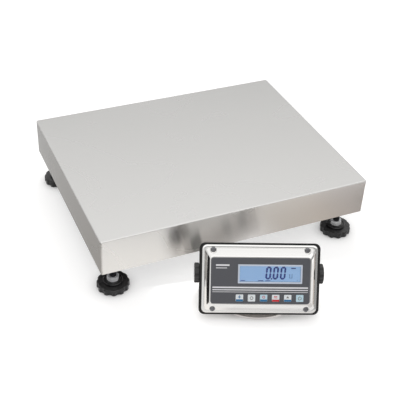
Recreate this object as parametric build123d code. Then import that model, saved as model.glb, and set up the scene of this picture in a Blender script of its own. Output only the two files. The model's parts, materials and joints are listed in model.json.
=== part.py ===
from build123d import *
from math import radians, sin
import os

os.makedirs("parts", exist_ok=True)

# Platform scale with a separate display head on a tilting stand.
# Lengths are millimetres and angles are degrees. X runs along the weighing plate's long edge,
# the display stands in front of it towards -Y, and the floor is Z = 0.

# Weighing plate
plate_length = 500.0
plate_depth = 400.0
overall_height = 127.0
skirt_height = 68.2
plate_sheet = 1.5
plate_corner_radius = 3.5
plate_fold_radius = 2.2
locating_tab_length = 30.0
locating_tab_height = 9.0
locating_tab_sheet = 2.0
locating_tab_corner = 0.4

# Load carrier under the plate
bumper_radius = 11.0
bumper_height = 3.5
bumper_stem_radius = 3.5
bumper_stem_length = 3.6
bumper_chamfer = 0.7
arm_side_distance = 45.0
arm_end_distance = 42.0
arm_width = 30.0
arm_height = 20.0
arm_wall = 2.0
bumper_inset = 22.0
spine_width = 64.0
spine_height = 20.0
carrier_sheet = 4.0
slot_length_share = 0.2
slot_width_share = 0.35
slot_place_share = 0.35

# Load cell and its spacers
cell_length = 150.0
cell_width = 30.0
cell_height = 32.0
cell_edge = 1.0
gauge_hole_radius = 12.6
gauge_hole_spacing = 44.0
gauge_slot_height = 12.0
gauge_cover_length = 64.0
gauge_cover_height = 22.0
gauge_cover_thickness = 1.2
gauge_cover_corner = 3.0
spacer_thickness = 3.0
spacer_length = 34.0
spacer_corner = 1.0
bolt_end_distance = 9.0
bolt_pitch = 17.0
bolt_radius = 3.0
bolt_depth = 12.0
bolt_end_gap = 1.0
bolt_head_radius = 6.0
cap_screw_head_radius = 5.0
bolt_head_height = 4.0
hex_socket_radius = 2.9
hex_socket_depth = 2.2

# Base frame
rail_side_clearance = 8.1
rail_end_clearance = 14.0
rail_width = 40.0
rail_height = 20.0
rail_wall = 2.0
tube_corner_radius = 3.2
tube_least_corner = 0.4
beam_width = 84.0
beam_height = 19.0
beam_sheet = 4.0
fold_radius = 6.0
cap_head = 2.5
cap_chamfer = 0.75
cap_plug_length = 5.0

# Overload stops
stop_end_distance = 48.0
stop_radius = 4.0
stop_socket_radius = 2.0
stop_socket_depth = 0.6
stop_gap = 0.8
stop_head_height = 5.3
stop_head_flats = 13.0
stop_nut_height = 6.5
stop_tail = 12.0
nut_corner_share = 0.9

# Levelling feet
foot_end_distance = 16.3
sole_radius = 24.0
sole_height = 2.6
sole_chamfer = 0.5
sole_proud = 1.0
wheel_radius = 28.3
wheel_height = 12.0
wheel_lobes = 12
scallop_radius = 7.2
scallop_depth = 2.3
wheel_edge = 2.4
hub_radius = 17.0
hub_height = 16.0
hub_groove_width = 1.6
hub_groove_depth = 1.4
hub_chamfer = 0.8
spindle_radius = 6.0
spindle_rise = 8.0
spindle_chamfer = 1.0
foot_nut_flats = 19.0
foot_nut_height = 8.5
bush_radius = 10.0
bush_chamfer = 0.8

# Cable gland of the load cell, and spirit level
gland_x = 112.0
gland_bore = 3.0
gland_flats = 13.0
gland_flange = 3.0
gland_nose = 11.0
gland_thread_radius = 5.0
gland_inside = 8.0
gland_dome_share = 0.94
gland_round_share = 0.35
level_y = 60.0
level_radius = 12.0
level_height = 9.0
level_wall = 2.0
level_edge = 0.8
vial_gap = 0.15
vial_proud = 0.6

# Display head, measured in its own frame: U right, V up, N out of its face.
# N = 0 is the front of the cover's flange.
display_x = -7.1
display_distance = 90.7
display_yaw = -21.7
display_tilt = 30.2
pivot_height = 62.1
pivot_v = 6.5
pivot_n = -18.0
face_width = 195.0
face_height = 118.0
face_corner = 9.0
cover_sheet = 1.2
flange_width = 3.6
step_height = 3.0
plateau_height = 12.0
plateau_side_border = 15.0
plateau_end_border = 19.5
plateau_corner = 6.0
plateau_edge = 1.2
pocket_radius = 5.6
pocket_side_distance = 20.5
pocket_end_distance = 10.0
gasket_thickness = 3.0
gasket_proud = 0.5
gasket_land = 7.0

# Membrane panel, window and keys
panel_margin = 1.5
panel_corner = 4.5
panel_thickness = 1.0
panel_v = -0.5
window_side_border = 12.9
window_top_border = 10.75
window_corner = 1.2
window_width = 105.0
window_height = 31.3
window_border = 2.6
bezel_thickness = 1.4
window_lens_thickness = 2.0
key_count = 6
key_pitch = 19.72
key_width = 12.0
key_height = 11.5
key_corner = 1.2
key_bottom_border = 4.05
key_edge = 0.15
key_thickness = 0.8
key_proud = 0.3
key_travel = 0.4
key_stem_inset = 2.0
dome_clearance = 0.1
dome_height = 0.6
dome_radius = 3.2
fit_gap = 0.3

# Boards and battery in the head
lcd_margin = 4.0
lcd_thickness = 6.0
lcd_corner = 1.5
lcd_chamfer = 0.8
lcd_lug_size = 8.0
keypad_board_margin = 6.0
keypad_board_height = 13.0
keypad_board_drop = 3.4
board_thickness = 1.6
keypad_board_corner = 1.0
board_post_radius = 2.5
main_board_side_margin = 16.0
main_board_end_margin = 7.0
main_board_corner = 2.0
main_board_n = -8.0
cable_slot_u = 57.0
cable_slot_width = 8.0
cable_slot_length = 24.0
chip_corner = 0.5
processor_u = -20.0
processor_v = 6.0
processor_size = 14.0
processor_height = 1.8
driver_u = 8.0
driver_v = 10.0
driver_length = 10.0
driver_width = 6.0
driver_height = 1.6
terminal_count = 2
terminal_u = -36.0
terminal_pitch = 26.0
terminal_edge_distance = 6.0
terminal_length = 22.0
terminal_depth = 8.0
terminal_height = 8.0
capacitor_count = 3
capacitor_u = 30.0
capacitor_v = -12.0
capacitor_pitch = 9.0
capacitor_radius = 3.2
capacitor_height = 7.0
main_post_radius = 3.0
main_post_inset = 5.0
battery_cell_radius = 9.25
battery_cell_length = 65.0
battery_cells = 4
battery_u = -27.0
sleeve_share = 0.8
strap_width = 12.0
strap_sheet = 0.8

# Rear housing
housing_depth = 34.0
housing_sheet = 1.2
housing_flange_width = 5.5
housing_side_taper = 1.0
housing_end_taper = 11.5
housing_corner = 9.0
housing_floor_edge = 3.0
screw_tab_radius = 9.0
screw_tab_sheet = 2.0
screw_bush_length = 8.0
screw_bush_radius = 4.0
cover_screw_radius = 2.0
cover_screw_head = 4.4
cover_screw_head_height = 2.6
cover_screw_length = 15.0
cover_screw_round = 1.56
cross_recess_length = 5.28
cross_recess_width = 1.0
cross_recess_depth = 1.3
head_gland_flats = 17.0
head_gland_spacing = 40.0
head_gland_u = 44.0
head_gland_v = -20.0
head_gland_thread = 7.5
head_gland_flange = 4.0
head_gland_nose = 15.0
head_gland_inside = 6.0
breather_u = 44.0
breather_v = 22.0
breather_edge = 1.4

# Stand and clamps
arm_side_gap = 1.0
stand_sheet = 2.5
stand_fold = 5.0
stand_back = 46.0
stand_front = 45.8
stand_shoulder = 20.0
nose_radius = 88.0
stand_edge_corner = 8.0
arm_foot_front = 20.0
arm_foot_back = 30.0
arm_head_radius = 11.0
pad_radius = 7.0
pad_height = 2.0
pad_chamfer = 0.4
front_pad_x = 36.0
front_pad_y = -26.0
back_pad_x = 78.0
back_pad_y = 35.0
stand_hole_spacing = 80.0
stand_hole_radius = 3.2
boss_radius = 8.0
boss_shoulder = 11.0
boss_inside = 8.0
stud_radius = 3.0
stud_clearance = 0.08
stud_chamfer = 0.6
stud_depth = 5.7
washer_radius = 10.5
washer_thickness = 1.5
knob_radius = 16.8
knob_thickness = 9.5
knob_flutes = 9
knob_flute_radius = 5.0
knob_flute_depth = 2.0
knob_edge = 1.6
knob_skirt_radius = 12.5
knob_skirt_height = 1.6

# Small clearances
cap_clearance = 0.2
bolt_clearance = 0.2
running_clearance = 0.08
weld_clearance = 0.02
hex_round = sin(radians(60.0))

# Heights of the stack, from the plate's top down
plate_underside = overall_height - plate_sheet
carrier_top = plate_underside - bumper_height
carrier_web_underside = carrier_top - carrier_sheet
cell_top = carrier_web_underside - spacer_thickness
cell_bottom = cell_top - cell_height
beam_top = cell_bottom - spacer_thickness
frame_bottom = beam_top - beam_height
rail_top = frame_bottom + rail_height
arm_bottom = carrier_top - arm_height

# Places under the weighing plate, from its size inwards
rail_spacing = plate_length - 2 * (plate_sheet + rail_side_clearance) - rail_width
rail_length = plate_depth - 2 * (plate_sheet + rail_end_clearance)
arm_spacing = plate_length - 2 * arm_side_distance
arm_length = plate_depth - 2 * arm_end_distance
foot_spacing_y = rail_length - 2 * foot_end_distance
stop_spacing_x = (rail_spacing - rail_width + arm_spacing + arm_width) / 2
stop_spacing_y = arm_length - 2 * stop_end_distance
fixed_end_x = -(cell_length / 2 - bolt_end_distance - bolt_pitch / 2)
free_end_x = -fixed_end_x

# Places on the display head, from its face inwards
pocket_u = face_width / 2 - pocket_side_distance
pocket_v = face_height / 2 - pocket_end_distance
panel_width = face_width - 2 * (plateau_side_border + panel_margin)
panel_height = face_height - 2 * (plateau_end_border + panel_margin)
window_u = panel_width / 2 - window_side_border - window_width / 2
window_v = panel_v + panel_height / 2 - window_top_border - window_height / 2
key_v = panel_v - panel_height / 2 + key_bottom_border + key_height / 2
housing_floor_width = face_width - 2 * (housing_flange_width + housing_side_taper)
housing_floor_height = face_height - 2 * (housing_flange_width + housing_end_taper)
main_board_width = housing_floor_width - 2 * main_board_side_margin
main_board_height = housing_floor_height - 2 * main_board_end_margin
arm_inner_half = face_width / 2 - housing_flange_width + arm_side_gap
display_y = -plate_depth / 2 - display_distance


def rounded_box(length, depth, height, corner):
    """Upright block on Z = 0 with rounded vertical edges."""
    return extrude(RectangleRounded(length, depth, corner), amount=height)


standing = (Align.CENTER, Align.CENTER, Align.MIN)
hanging = (Align.CENTER, Align.CENTER, Align.MAX)


def rod(radius, length, base=0.0):
    """Round bar along Z that starts at the base."""
    return Pos(0, 0, base) * Cylinder(radius, length, align=standing)


def hexagon_bar(flats, height, base=0.0):
    """Hexagonal bar along Z with the given width across flats."""
    bar = extrude(RegularPolygon(flats / 2 / hex_round, 6), amount=height)
    return Pos(0, 0, base) * bar


def chamfered_nut(flats, height, bore):
    """Hexagon nut whose corners are turned off at both ends."""
    corner_radius = flats / 2 / hex_round
    turned = rod(corner_radius, height)
    turned_off = (corner_radius - flats / 2) * nut_corner_share
    turned = chamfer(turned.edges().filter_by(GeomType.CIRCLE), turned_off)
    return (hexagon_bar(flats, height) & turned) - rod(bore, height)


def corner_places(spacing_x, spacing_y, height=0.0):
    """Four places at the corners of a rectangle about the middle."""
    return [
        Pos(side_x * spacing_x / 2, side_y * spacing_y / 2, height)
        for side_x in (-1, 1)
        for side_y in (-1, 1)
    ]


def tube_along_y(width, height, wall, length, corner):
    """Rectangular tube centred on the origin."""
    outside = RectangleRounded(width, height, corner)
    inside = RectangleRounded(width - 2 * wall, height - 2 * wall, max(corner - wall, tube_least_corner))
    return extrude(Plane.XZ * (outside - inside), amount=length / 2, both=True)


def channel_along_x(width, height, sheet, length, fold):
    """Sheet folded as an upside-down channel, its top face at Z = 0."""
    outside = Rectangle(width, height, align=(Align.CENTER, Align.MAX))
    outside = fillet(outside.vertices().group_by(Axis.Y)[-1], fold)
    inside = Rectangle(width - 2 * sheet, height - sheet, align=(Align.CENTER, Align.MAX))
    inside = fillet(inside.vertices().group_by(Axis.Y)[-1], fold - sheet)
    section = outside - Pos(0, -sheet) * inside
    return extrude(Plane.YZ * section, amount=length / 2, both=True)


def end_caps(width, height, wall, length, corner):
    """Two plastic plugs for the ends of a tube that lies along Y."""
    head = extrude(RectangleRounded(width, height, corner), amount=cap_head)
    head = chamfer(head.faces().sort_by(Axis.Z)[-1].edges(), cap_chamfer)
    inner_width = width - 2 * wall - 2 * cap_clearance
    inner_height = height - 2 * wall - 2 * cap_clearance
    plug_section = RectangleRounded(inner_width, inner_height, corner - wall)
    plug_section -= Rectangle(inner_width - 2 * wall, inner_height - 2 * wall)
    plug = extrude(plug_section, amount=-cap_plug_length)
    cap = head + plug
    back = Plane(origin=(0, length / 2, 0), x_dir=(1, 0, 0), z_dir=(0, 1, 0)).location * cap
    front = Plane(origin=(0, -length / 2, 0), x_dir=(1, 0, 0), z_dir=(0, -1, 0)).location * cap
    return [back, front]


# Weighing plate

def make_weighing_plate():
    """Folded pan with deep skirts, and four tabs that keep it on the carrier's arms."""
    outside = rounded_box(plate_length, plate_depth, skirt_height, plate_corner_radius)
    outside = fillet(outside.faces().sort_by(Axis.Z)[-1].edges(), plate_fold_radius)
    inside = rounded_box(
        plate_length - 2 * plate_sheet,
        plate_depth - 2 * plate_sheet,
        skirt_height - plate_sheet,
        plate_corner_radius - plate_sheet,
    )
    inside = fillet(inside.faces().sort_by(Axis.Z)[-1].edges(), plate_fold_radius - plate_sheet)
    pan = Pos(0, 0, overall_height - skirt_height) * (outside - inside)
    tab_x = arm_spacing / 2 + arm_width / 2 + 2 * fit_gap + locating_tab_sheet / 2
    tab_y = arm_length / 2 - locating_tab_length
    tab = rounded_box(locating_tab_sheet, locating_tab_length, locating_tab_height, locating_tab_corner)
    for place in corner_places(2 * tab_x, 2 * tab_y, plate_underside - locating_tab_height):
        pan += place * tab
    return pan


# Load carrier

def bumper_places(height):
    return corner_places(arm_spacing, arm_length - 2 * bumper_inset, height)


def make_carrier_arms():
    """Cross arms of the carrier: tubes along Y with holes for the bumpers' stems."""
    tube = tube_along_y(arm_width, arm_height, arm_wall, arm_length, tube_corner_radius)
    stem_hole = rod(bumper_stem_radius + fit_gap, bumper_stem_length)
    holes = [place * stem_hole for place in bumper_places(carrier_top - bumper_stem_length)]
    height = carrier_top - arm_height / 2
    return [Pos(side * arm_spacing / 2, 0, height) * tube - holes for side in (-1, 1)]


def make_arm_caps():
    caps = end_caps(arm_width, arm_height, arm_wall, arm_length, tube_corner_radius)
    height = carrier_top - arm_height / 2
    return [Pos(side * arm_spacing / 2, 0, height) * cap for side in (-1, 1) for cap in caps]


def cell_bolt_places(end_x, height):
    return [Pos(end_x + shift * bolt_pitch / 2, 0, height) for shift in (-1, 1)]


def make_carrier_spine():
    """Folded channel that bridges the load cell and carries both arms."""
    length = arm_spacing - arm_width
    spine = channel_along_x(spine_width, spine_height, carrier_sheet, length, fold_radius)
    spine = Pos(0, 0, carrier_top) * spine
    countersink = Cone(
        bolt_radius + bolt_clearance,
        bolt_head_radius + bolt_clearance,
        carrier_sheet,
        align=hanging,
    )
    for place in cell_bolt_places(free_end_x, carrier_top):
        spine -= place * countersink
    slot_outline = SlotOverall(length * slot_length_share, spine_width * slot_width_share)
    slot = extrude(slot_outline, amount=carrier_sheet)
    for side in (-1, 1):
        spine -= Pos(side * length * slot_place_share, 0, carrier_top - carrier_sheet) * slot
    return spine


def make_bumpers():
    """Rubber buttons with stems, pushed into the arms."""
    button = rod(bumper_radius, bumper_height)
    button = chamfer(button.edges().sort_by(Axis.Z)[-1], bumper_chamfer)
    bumper = button + rod(bumper_stem_radius, bumper_stem_length, -bumper_stem_length)
    return [place * bumper for place in bumper_places(carrier_top)]


# Load cell

def make_load_cell():
    """Bending-beam block with its dumb-bell cut-out and bolt holes."""
    block = Box(cell_length, cell_width, cell_height)
    block = chamfer(block.edges().filter_by(Axis.Y), cell_edge)
    hole = Rot(90, 0, 0) * Cylinder(gauge_hole_radius, cell_width)
    for side in (-1, 1):
        block -= Pos(side * gauge_hole_spacing / 2, 0, 0) * hole
    block -= Box(gauge_hole_spacing, cell_width, gauge_slot_height)
    cell = Pos(0, 0, (cell_top + cell_bottom) / 2) * block
    for place in cell_bolt_places(fixed_end_x, cell_bottom):
        cell -= place * rod(bolt_radius + bolt_clearance, bolt_depth)
    for place in cell_bolt_places(free_end_x, cell_top - bolt_depth):
        cell -= place * rod(bolt_radius + bolt_clearance, bolt_depth)
    return cell


def make_gauge_covers():
    """Thin plates glued over the gauge cut-out on both sides."""
    plate = rounded_box(
        gauge_cover_length, gauge_cover_height, gauge_cover_thickness, gauge_cover_corner
    )
    height = (cell_top + cell_bottom) / 2
    covers = []
    for side in (-1, 1):
        face = Plane(origin=(0, side * cell_width / 2, height), x_dir=(1, 0, 0), z_dir=(0, side, 0))
        covers.append(face.location * plate)
    return covers


def make_spacer(end_x, base):
    spacer = Pos(end_x, 0, base) * rounded_box(spacer_length, cell_width, spacer_thickness, spacer_corner)
    for place in cell_bolt_places(end_x, base):
        spacer -= place * rod(bolt_radius + bolt_clearance, spacer_thickness)
    return spacer


def make_fixed_end_bolts():
    """Cap screws that come up through the beam into the cell."""
    shank = rod(bolt_radius, beam_sheet + spacer_thickness + bolt_depth - bolt_end_gap)
    head = rod(cap_screw_head_radius, bolt_head_height, -bolt_head_height)
    head -= hexagon_bar(2 * hex_socket_radius * hex_round, hex_socket_depth, -bolt_head_height)
    bolt = head + shank
    return [place * bolt for place in cell_bolt_places(fixed_end_x, beam_top - beam_sheet)]


def make_free_end_bolts():
    """Countersunk screws that go down through the spine into the cell."""
    shank_length = carrier_sheet + spacer_thickness + bolt_depth - bolt_end_gap
    shank = rod(bolt_radius, shank_length, -shank_length)
    head = Cone(bolt_radius, bolt_head_radius, carrier_sheet, align=hanging)
    socket = hexagon_bar(2 * hex_socket_radius * hex_round, hex_socket_depth, -hex_socket_depth)
    bolt = head + shank - socket
    return [place * bolt for place in cell_bolt_places(free_end_x, carrier_top)]


# Base frame

def foot_places(height):
    return corner_places(rail_spacing, foot_spacing_y, height)


def stop_places(height):
    return corner_places(stop_spacing_x, stop_spacing_y, height)


def make_side_rails():
    """Rails of rectangular tube, bored for the foot bushes and the stop screws."""
    tube = tube_along_y(rail_width, rail_height, rail_wall, rail_length, tube_corner_radius)
    bush_hole = rod(bush_radius + weld_clearance, rail_height)
    stop_hole = rod(stop_radius + bolt_clearance, rail_wall)
    holes = [place * bush_hole for place in foot_places(frame_bottom)]
    holes += [place * stop_hole for place in stop_places(rail_top - rail_wall)]
    height = frame_bottom + rail_height / 2
    return [Pos(side * rail_spacing / 2, 0, height) * tube - holes for side in (-1, 1)]


def make_rail_caps():
    caps = end_caps(rail_width, rail_height, rail_wall, rail_length, tube_corner_radius)
    height = frame_bottom + rail_height / 2
    return [Pos(side * rail_spacing / 2, 0, height) * cap for side in (-1, 1) for cap in caps]


def make_foot_bushes():
    bush = rod(bush_radius, rail_height) - rod(spindle_radius + running_clearance, rail_height)
    top_edges = bush.edges().filter_by(GeomType.CIRCLE).group_by(Axis.Z)[-1]
    bush = chamfer(top_edges.sort_by(SortBy.RADIUS)[-1], bush_chamfer)
    return [place * bush for place in foot_places(frame_bottom)]


gland_height = frame_bottom + (beam_height - beam_sheet) / 2


def make_cross_beam():
    """Folded channel between the rails, which carries the cell's fixed end."""
    length = rail_spacing - rail_width
    beam = channel_along_x(beam_width, beam_height, beam_sheet, length, fold_radius)
    beam = Pos(0, 0, beam_top) * beam
    for place in cell_bolt_places(fixed_end_x, beam_top - beam_sheet):
        beam -= place * rod(bolt_radius + bolt_clearance, beam_sheet)
    gland_hole = Plane(
        origin=(gland_x, -beam_width / 2, gland_height), x_dir=(1, 0, 0), z_dir=(0, 1, 0)
    ).location * rod(gland_thread_radius + bolt_clearance, beam_sheet)
    return beam - gland_hole


def make_gland(flats, thread_radius, bore, flange, nose, inside):
    """Cable gland along Z: hexagon flange on Z = 0, domed clamping nut above, thread below."""
    flange_body = hexagon_bar(flats, flange)
    dome_radius = flats / 2 * gland_dome_share
    dome = rod(dome_radius, nose, flange)
    dome = fillet(dome.edges().sort_by(Axis.Z)[-1], dome_radius * gland_round_share)
    thread = rod(thread_radius, inside, -inside)
    return flange_body + dome + thread - rod(bore, inside + flange + nose, -inside)


def make_cell_gland():
    gland = make_gland(
        gland_flats, gland_thread_radius, gland_bore, gland_flange, gland_nose, gland_inside
    )
    face = Plane(origin=(gland_x, -beam_width / 2, gland_height), x_dir=(1, 0, 0), z_dir=(0, -1, 0))
    return face.location * gland


def make_overload_stops():
    """Hexagon screws whose heads stand just under the carrier's arms, with their lock nuts."""
    head_top = arm_bottom - stop_gap
    head_base = head_top - stop_head_height
    tail_base = rail_top - stop_tail
    head = chamfered_nut(stop_head_flats, stop_head_height, stop_socket_radius)
    shank = rod(stop_radius, head_top - tail_base - stop_socket_depth, tail_base)
    head = Pos(0, 0, head_base) * head + shank
    nut = chamfered_nut(stop_head_flats, stop_nut_height, stop_radius + bolt_clearance)
    screws = [place * head for place in stop_places(0)]
    return screws + [place * nut for place in stop_places(rail_top)]


def make_level_case():
    """Round case of the spirit level, on the right rail."""
    case = rod(level_radius, level_height)
    case = fillet(case.edges().sort_by(Axis.Z)[-1], level_edge)
    case -= rod(level_radius - level_wall, level_height - level_wall, level_wall)
    return Pos(rail_spacing / 2, level_y, rail_top) * case


def make_level_vial():
    radius = level_radius - level_wall - vial_gap
    vial = rod(radius, level_height - level_wall + vial_proud, level_wall)
    vial = fillet(vial.edges().sort_by(Axis.Z)[-1], vial_proud)
    return Pos(rail_spacing / 2, level_y, rail_top) * vial


# Levelling feet

foot_corners = {
    "front_left": (-1, -1),
    "front_right": (1, -1),
    "back_left": (-1, 1),
    "back_right": (1, 1),
}


def make_sole():
    sole = rod(sole_radius, sole_height)
    return chamfer(sole.edges().sort_by(Axis.Z)[0], sole_chamfer)


def make_star_wheel():
    """Moulded wheel with scallops between pointed lobes, a raised hub and a grooved ring."""
    wheel = rod(wheel_radius, wheel_height - sole_proud, sole_proud)
    wheel = fillet(wheel.edges().sort_by(Axis.Z)[-1], wheel_edge)
    scallop_centre = wheel_radius + scallop_radius - scallop_depth
    scallop = Pos(scallop_centre, 0, 0) * rod(scallop_radius, wheel_height)
    wheel -= [Rot(0, 0, index * 360 / wheel_lobes) * scallop for index in range(wheel_lobes)]
    hub = rod(hub_radius, hub_height - wheel_height, wheel_height)
    hub = chamfer(hub.edges().sort_by(Axis.Z)[-1], hub_chamfer)
    groove_outer = hub_radius - hub_groove_width
    groove = rod(groove_outer, hub_groove_depth) - rod(groove_outer - hub_groove_width, hub_groove_depth)
    wheel = wheel + hub - Pos(0, 0, hub_height - hub_groove_depth) * groove
    wheel -= rod(sole_radius + fit_gap, sole_height)
    return wheel - rod(spindle_radius + weld_clearance, hub_height)


def make_spindle_and_nut():
    """Threaded spindle from inside the wheel, up through the rail's bush, and the nut on the hub."""
    length = rail_top + spindle_rise - sole_height
    spindle = rod(spindle_radius, length, sole_height)
    spindle = chamfer(spindle.edges().sort_by(Axis.Z)[-1], spindle_chamfer)
    nut = chamfered_nut(foot_nut_flats, foot_nut_height, spindle_radius + weld_clearance)
    return [spindle, Pos(0, 0, hub_height) * nut]


# Places of the display. The stand's frame has its origin on the floor below the pivot, with -Y forward.

stand_place = Location((display_x, display_y, 0), (0, 0, display_yaw))
head_place = (
    stand_place
    * Location((0, 0, pivot_height), (90 - display_tilt, 0, 0))
    * Location((0, -pivot_v, -pivot_n))
)


# Display head: front cover

def rounded_slice(width, height, corner, level):
    return Plane.XY.offset(level) * RectangleRounded(width, height, corner)


def drawn_form(shrink):
    """Step and sloping bevel of the cover, made smaller all round by the shrink."""
    low_width = face_width - 2 * flange_width - 2 * shrink
    low_height = face_height - 2 * flange_width - 2 * shrink
    low_corner = face_corner - flange_width * 0.5 - shrink
    high_width = face_width - 2 * plateau_side_border - 2 * shrink
    high_height = face_height - 2 * plateau_end_border - 2 * shrink
    high_corner = plateau_corner - shrink
    base_level = -cover_sheet
    step_level = step_height - shrink
    top_level = plateau_height - shrink
    step = rounded_slice(low_width, low_height, low_corner, base_level)
    step = extrude(step, amount=step_level - base_level)
    low = rounded_slice(low_width, low_height, low_corner, step_level)
    high = rounded_slice(high_width, high_height, high_corner, top_level)
    return step + loft([low.face(), high.face()])


def screw_places(level=0.0):
    return corner_places(2 * pocket_u, 2 * pocket_v, level)


def key_places(level=0.0):
    first = window_u - key_pitch * (key_count - 1) / 2
    return [Pos(first + index * key_pitch, key_v, level) for index in range(key_count)]


lens_width = window_width - 2 * window_border - fit_gap
lens_height = window_height - 2 * window_border - fit_gap
key_stem_width = key_width - 2 * key_stem_inset
key_stem_height = key_height - 2 * key_stem_inset


def make_front_cover():
    """Drawn lid: flange, step, bevel and flat middle, with screw pockets and openings."""
    outside = drawn_form(0.0)
    outside = fillet(outside.faces().sort_by(Axis.Z)[-1].edges(), plateau_edge)
    flange = rounded_slice(face_width, face_height, face_corner, -cover_sheet)
    flange = extrude(flange, amount=cover_sheet)
    cover = flange + outside - drawn_form(cover_sheet)
    pocket_floor = step_height - cover_sheet
    cup = rod(pocket_radius + cover_sheet, plateau_height, pocket_floor)
    cover += [(place * cup) & outside for place in screw_places()]
    pocket = rod(pocket_radius, plateau_height, step_height)
    pocket += rod(cover_screw_radius + bolt_clearance, cover_sheet, pocket_floor)
    window_outline = Rectangle(lens_width + 2 * fit_gap, lens_height + 2 * fit_gap)
    window = extrude(window_outline, amount=plateau_height)
    stem_outline = Rectangle(key_stem_width + 2 * fit_gap, key_stem_height + 2 * fit_gap)
    key_slot = extrude(stem_outline, amount=plateau_height)
    openings = [place * pocket for place in screw_places()]
    openings += [Pos(window_u, window_v, step_height) * window]
    openings += [place * key_slot for place in key_places(step_height)]
    return cover - openings


def make_gasket():
    """Rubber frame between the cover and the housing, a little proud all round."""
    outer = rounded_slice(
        face_width + 2 * gasket_proud, face_height + 2 * gasket_proud, face_corner + gasket_proud, 0
    )
    inner = rounded_slice(
        face_width - 2 * gasket_land, face_height - 2 * gasket_land, face_corner - gasket_land * 0.5, 0
    )
    ring = extrude(outer - inner, amount=gasket_thickness)
    return Pos(0, 0, -cover_sheet - gasket_thickness) * ring


# Display head: panel, window and keys

def make_membrane_panel():
    """Flat panel on the cover, cut out for the window and the keys."""
    panel = rounded_box(panel_width, panel_height, panel_thickness, panel_corner)
    panel = Pos(0, panel_v, plateau_height) * panel
    window_outline = Rectangle(window_width + fit_gap, window_height + fit_gap)
    window_hole = extrude(window_outline, amount=panel_thickness)
    key_hole = rounded_box(
        key_width + 2 * fit_gap, key_height + 2 * fit_gap, panel_thickness, key_corner + fit_gap
    )
    holes = [Pos(window_u, window_v, plateau_height) * window_hole]
    holes += [place * key_hole for place in key_places(plateau_height)]
    return panel - holes


def make_window_bezel():
    """Light frame round the window."""
    ring = RectangleRounded(window_width, window_height, window_corner)
    ring -= Rectangle(window_width - 2 * window_border, window_height - 2 * window_border)
    bezel = extrude(ring, amount=bezel_thickness)
    return Pos(window_u, window_v, plateau_height) * bezel


lens_base = plateau_height - cover_sheet


def make_window_lens():
    lens = extrude(Rectangle(lens_width, lens_height), amount=window_lens_thickness)
    return Pos(window_u, window_v, lens_base) * lens


def make_lcd_module():
    """Glass of the display in its holder, behind the lens."""
    width = lens_width + 2 * lcd_margin
    height = lens_height + 2 * lcd_margin
    holder = rounded_box(width, height, lcd_thickness, lcd_corner)
    holder = chamfer(holder.faces().sort_by(Axis.Z)[0].edges(), lcd_chamfer)
    lug = rounded_box(lcd_lug_size, lcd_lug_size, board_thickness, lcd_corner)
    for side in (-1, 1):
        holder += Pos(side * (width / 2 + lcd_lug_size / 4), 0, 0) * lug
    return Pos(window_u, window_v, lens_base - lcd_thickness) * holder


key_front = plateau_height + panel_thickness + key_proud
key_back = key_front - key_thickness
dome_top = lens_base - keypad_board_drop + dome_height
key_stem_base = dome_top + key_travel + dome_clearance


def make_key():
    """Square key with a stem that reaches down to its dome."""
    cap = rounded_box(key_width, key_height, key_thickness, key_corner)
    cap = chamfer(cap.faces().sort_by(Axis.Z)[-1].edges(), key_edge)
    stem = extrude(Rectangle(key_stem_width, key_stem_height), amount=key_back - key_stem_base)
    return Pos(0, 0, key_back) * cap + Pos(0, 0, key_stem_base) * stem


keypad_board_front = lens_base - keypad_board_drop
keypad_board_width = key_pitch * (key_count - 1) + key_width + 2 * keypad_board_margin


def make_keypad_board():
    """Strip of circuit board behind the keys, with one dome under each."""
    board = rounded_box(keypad_board_width, keypad_board_height, board_thickness, keypad_board_corner)
    board = Pos(window_u, key_v, keypad_board_front - board_thickness) * board
    for place in key_places(keypad_board_front):
        board += place * Cone(dome_radius, dome_radius / 2, dome_height, align=standing)
    return board


def keypad_posts():
    """Posts that hold the keypad board to the back of the cover."""
    post = rod(board_post_radius, keypad_board_drop)
    side_u = keypad_board_width / 2 - board_post_radius
    spots = [-side_u, -key_pitch, 0.0, key_pitch, side_u]
    return [Pos(window_u + spot, key_v, keypad_board_front) * post for spot in spots]


# Display head: rear housing and what it holds

housing_front = -cover_sheet - gasket_thickness
housing_back = housing_front - housing_depth


def tub_form(shrink, front, back):
    """Tapering tub of the housing, made smaller all round by the shrink."""
    wide = face_width - 2 * housing_flange_width - 2 * shrink
    tall = face_height - 2 * housing_flange_width - 2 * shrink
    front_slice = rounded_slice(wide, tall, housing_corner - shrink, front)
    back_slice = rounded_slice(
        housing_floor_width - 2 * shrink, housing_floor_height - 2 * shrink, housing_corner - shrink, back
    )
    return loft([front_slice.face(), back_slice.face()])


def side_frame(side):
    """Frame on the pivot axis, its Z pointing out of the head's side."""
    return Plane(origin=(0, pivot_v, pivot_n), x_dir=(0, 1, 0), z_dir=(side, 0, 0)).location


def head_gland_places(level):
    spots = [-head_gland_spacing / 2, head_gland_spacing / 2]
    return [Pos(head_gland_u + spot, head_gland_v, level) for spot in spots]


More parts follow.
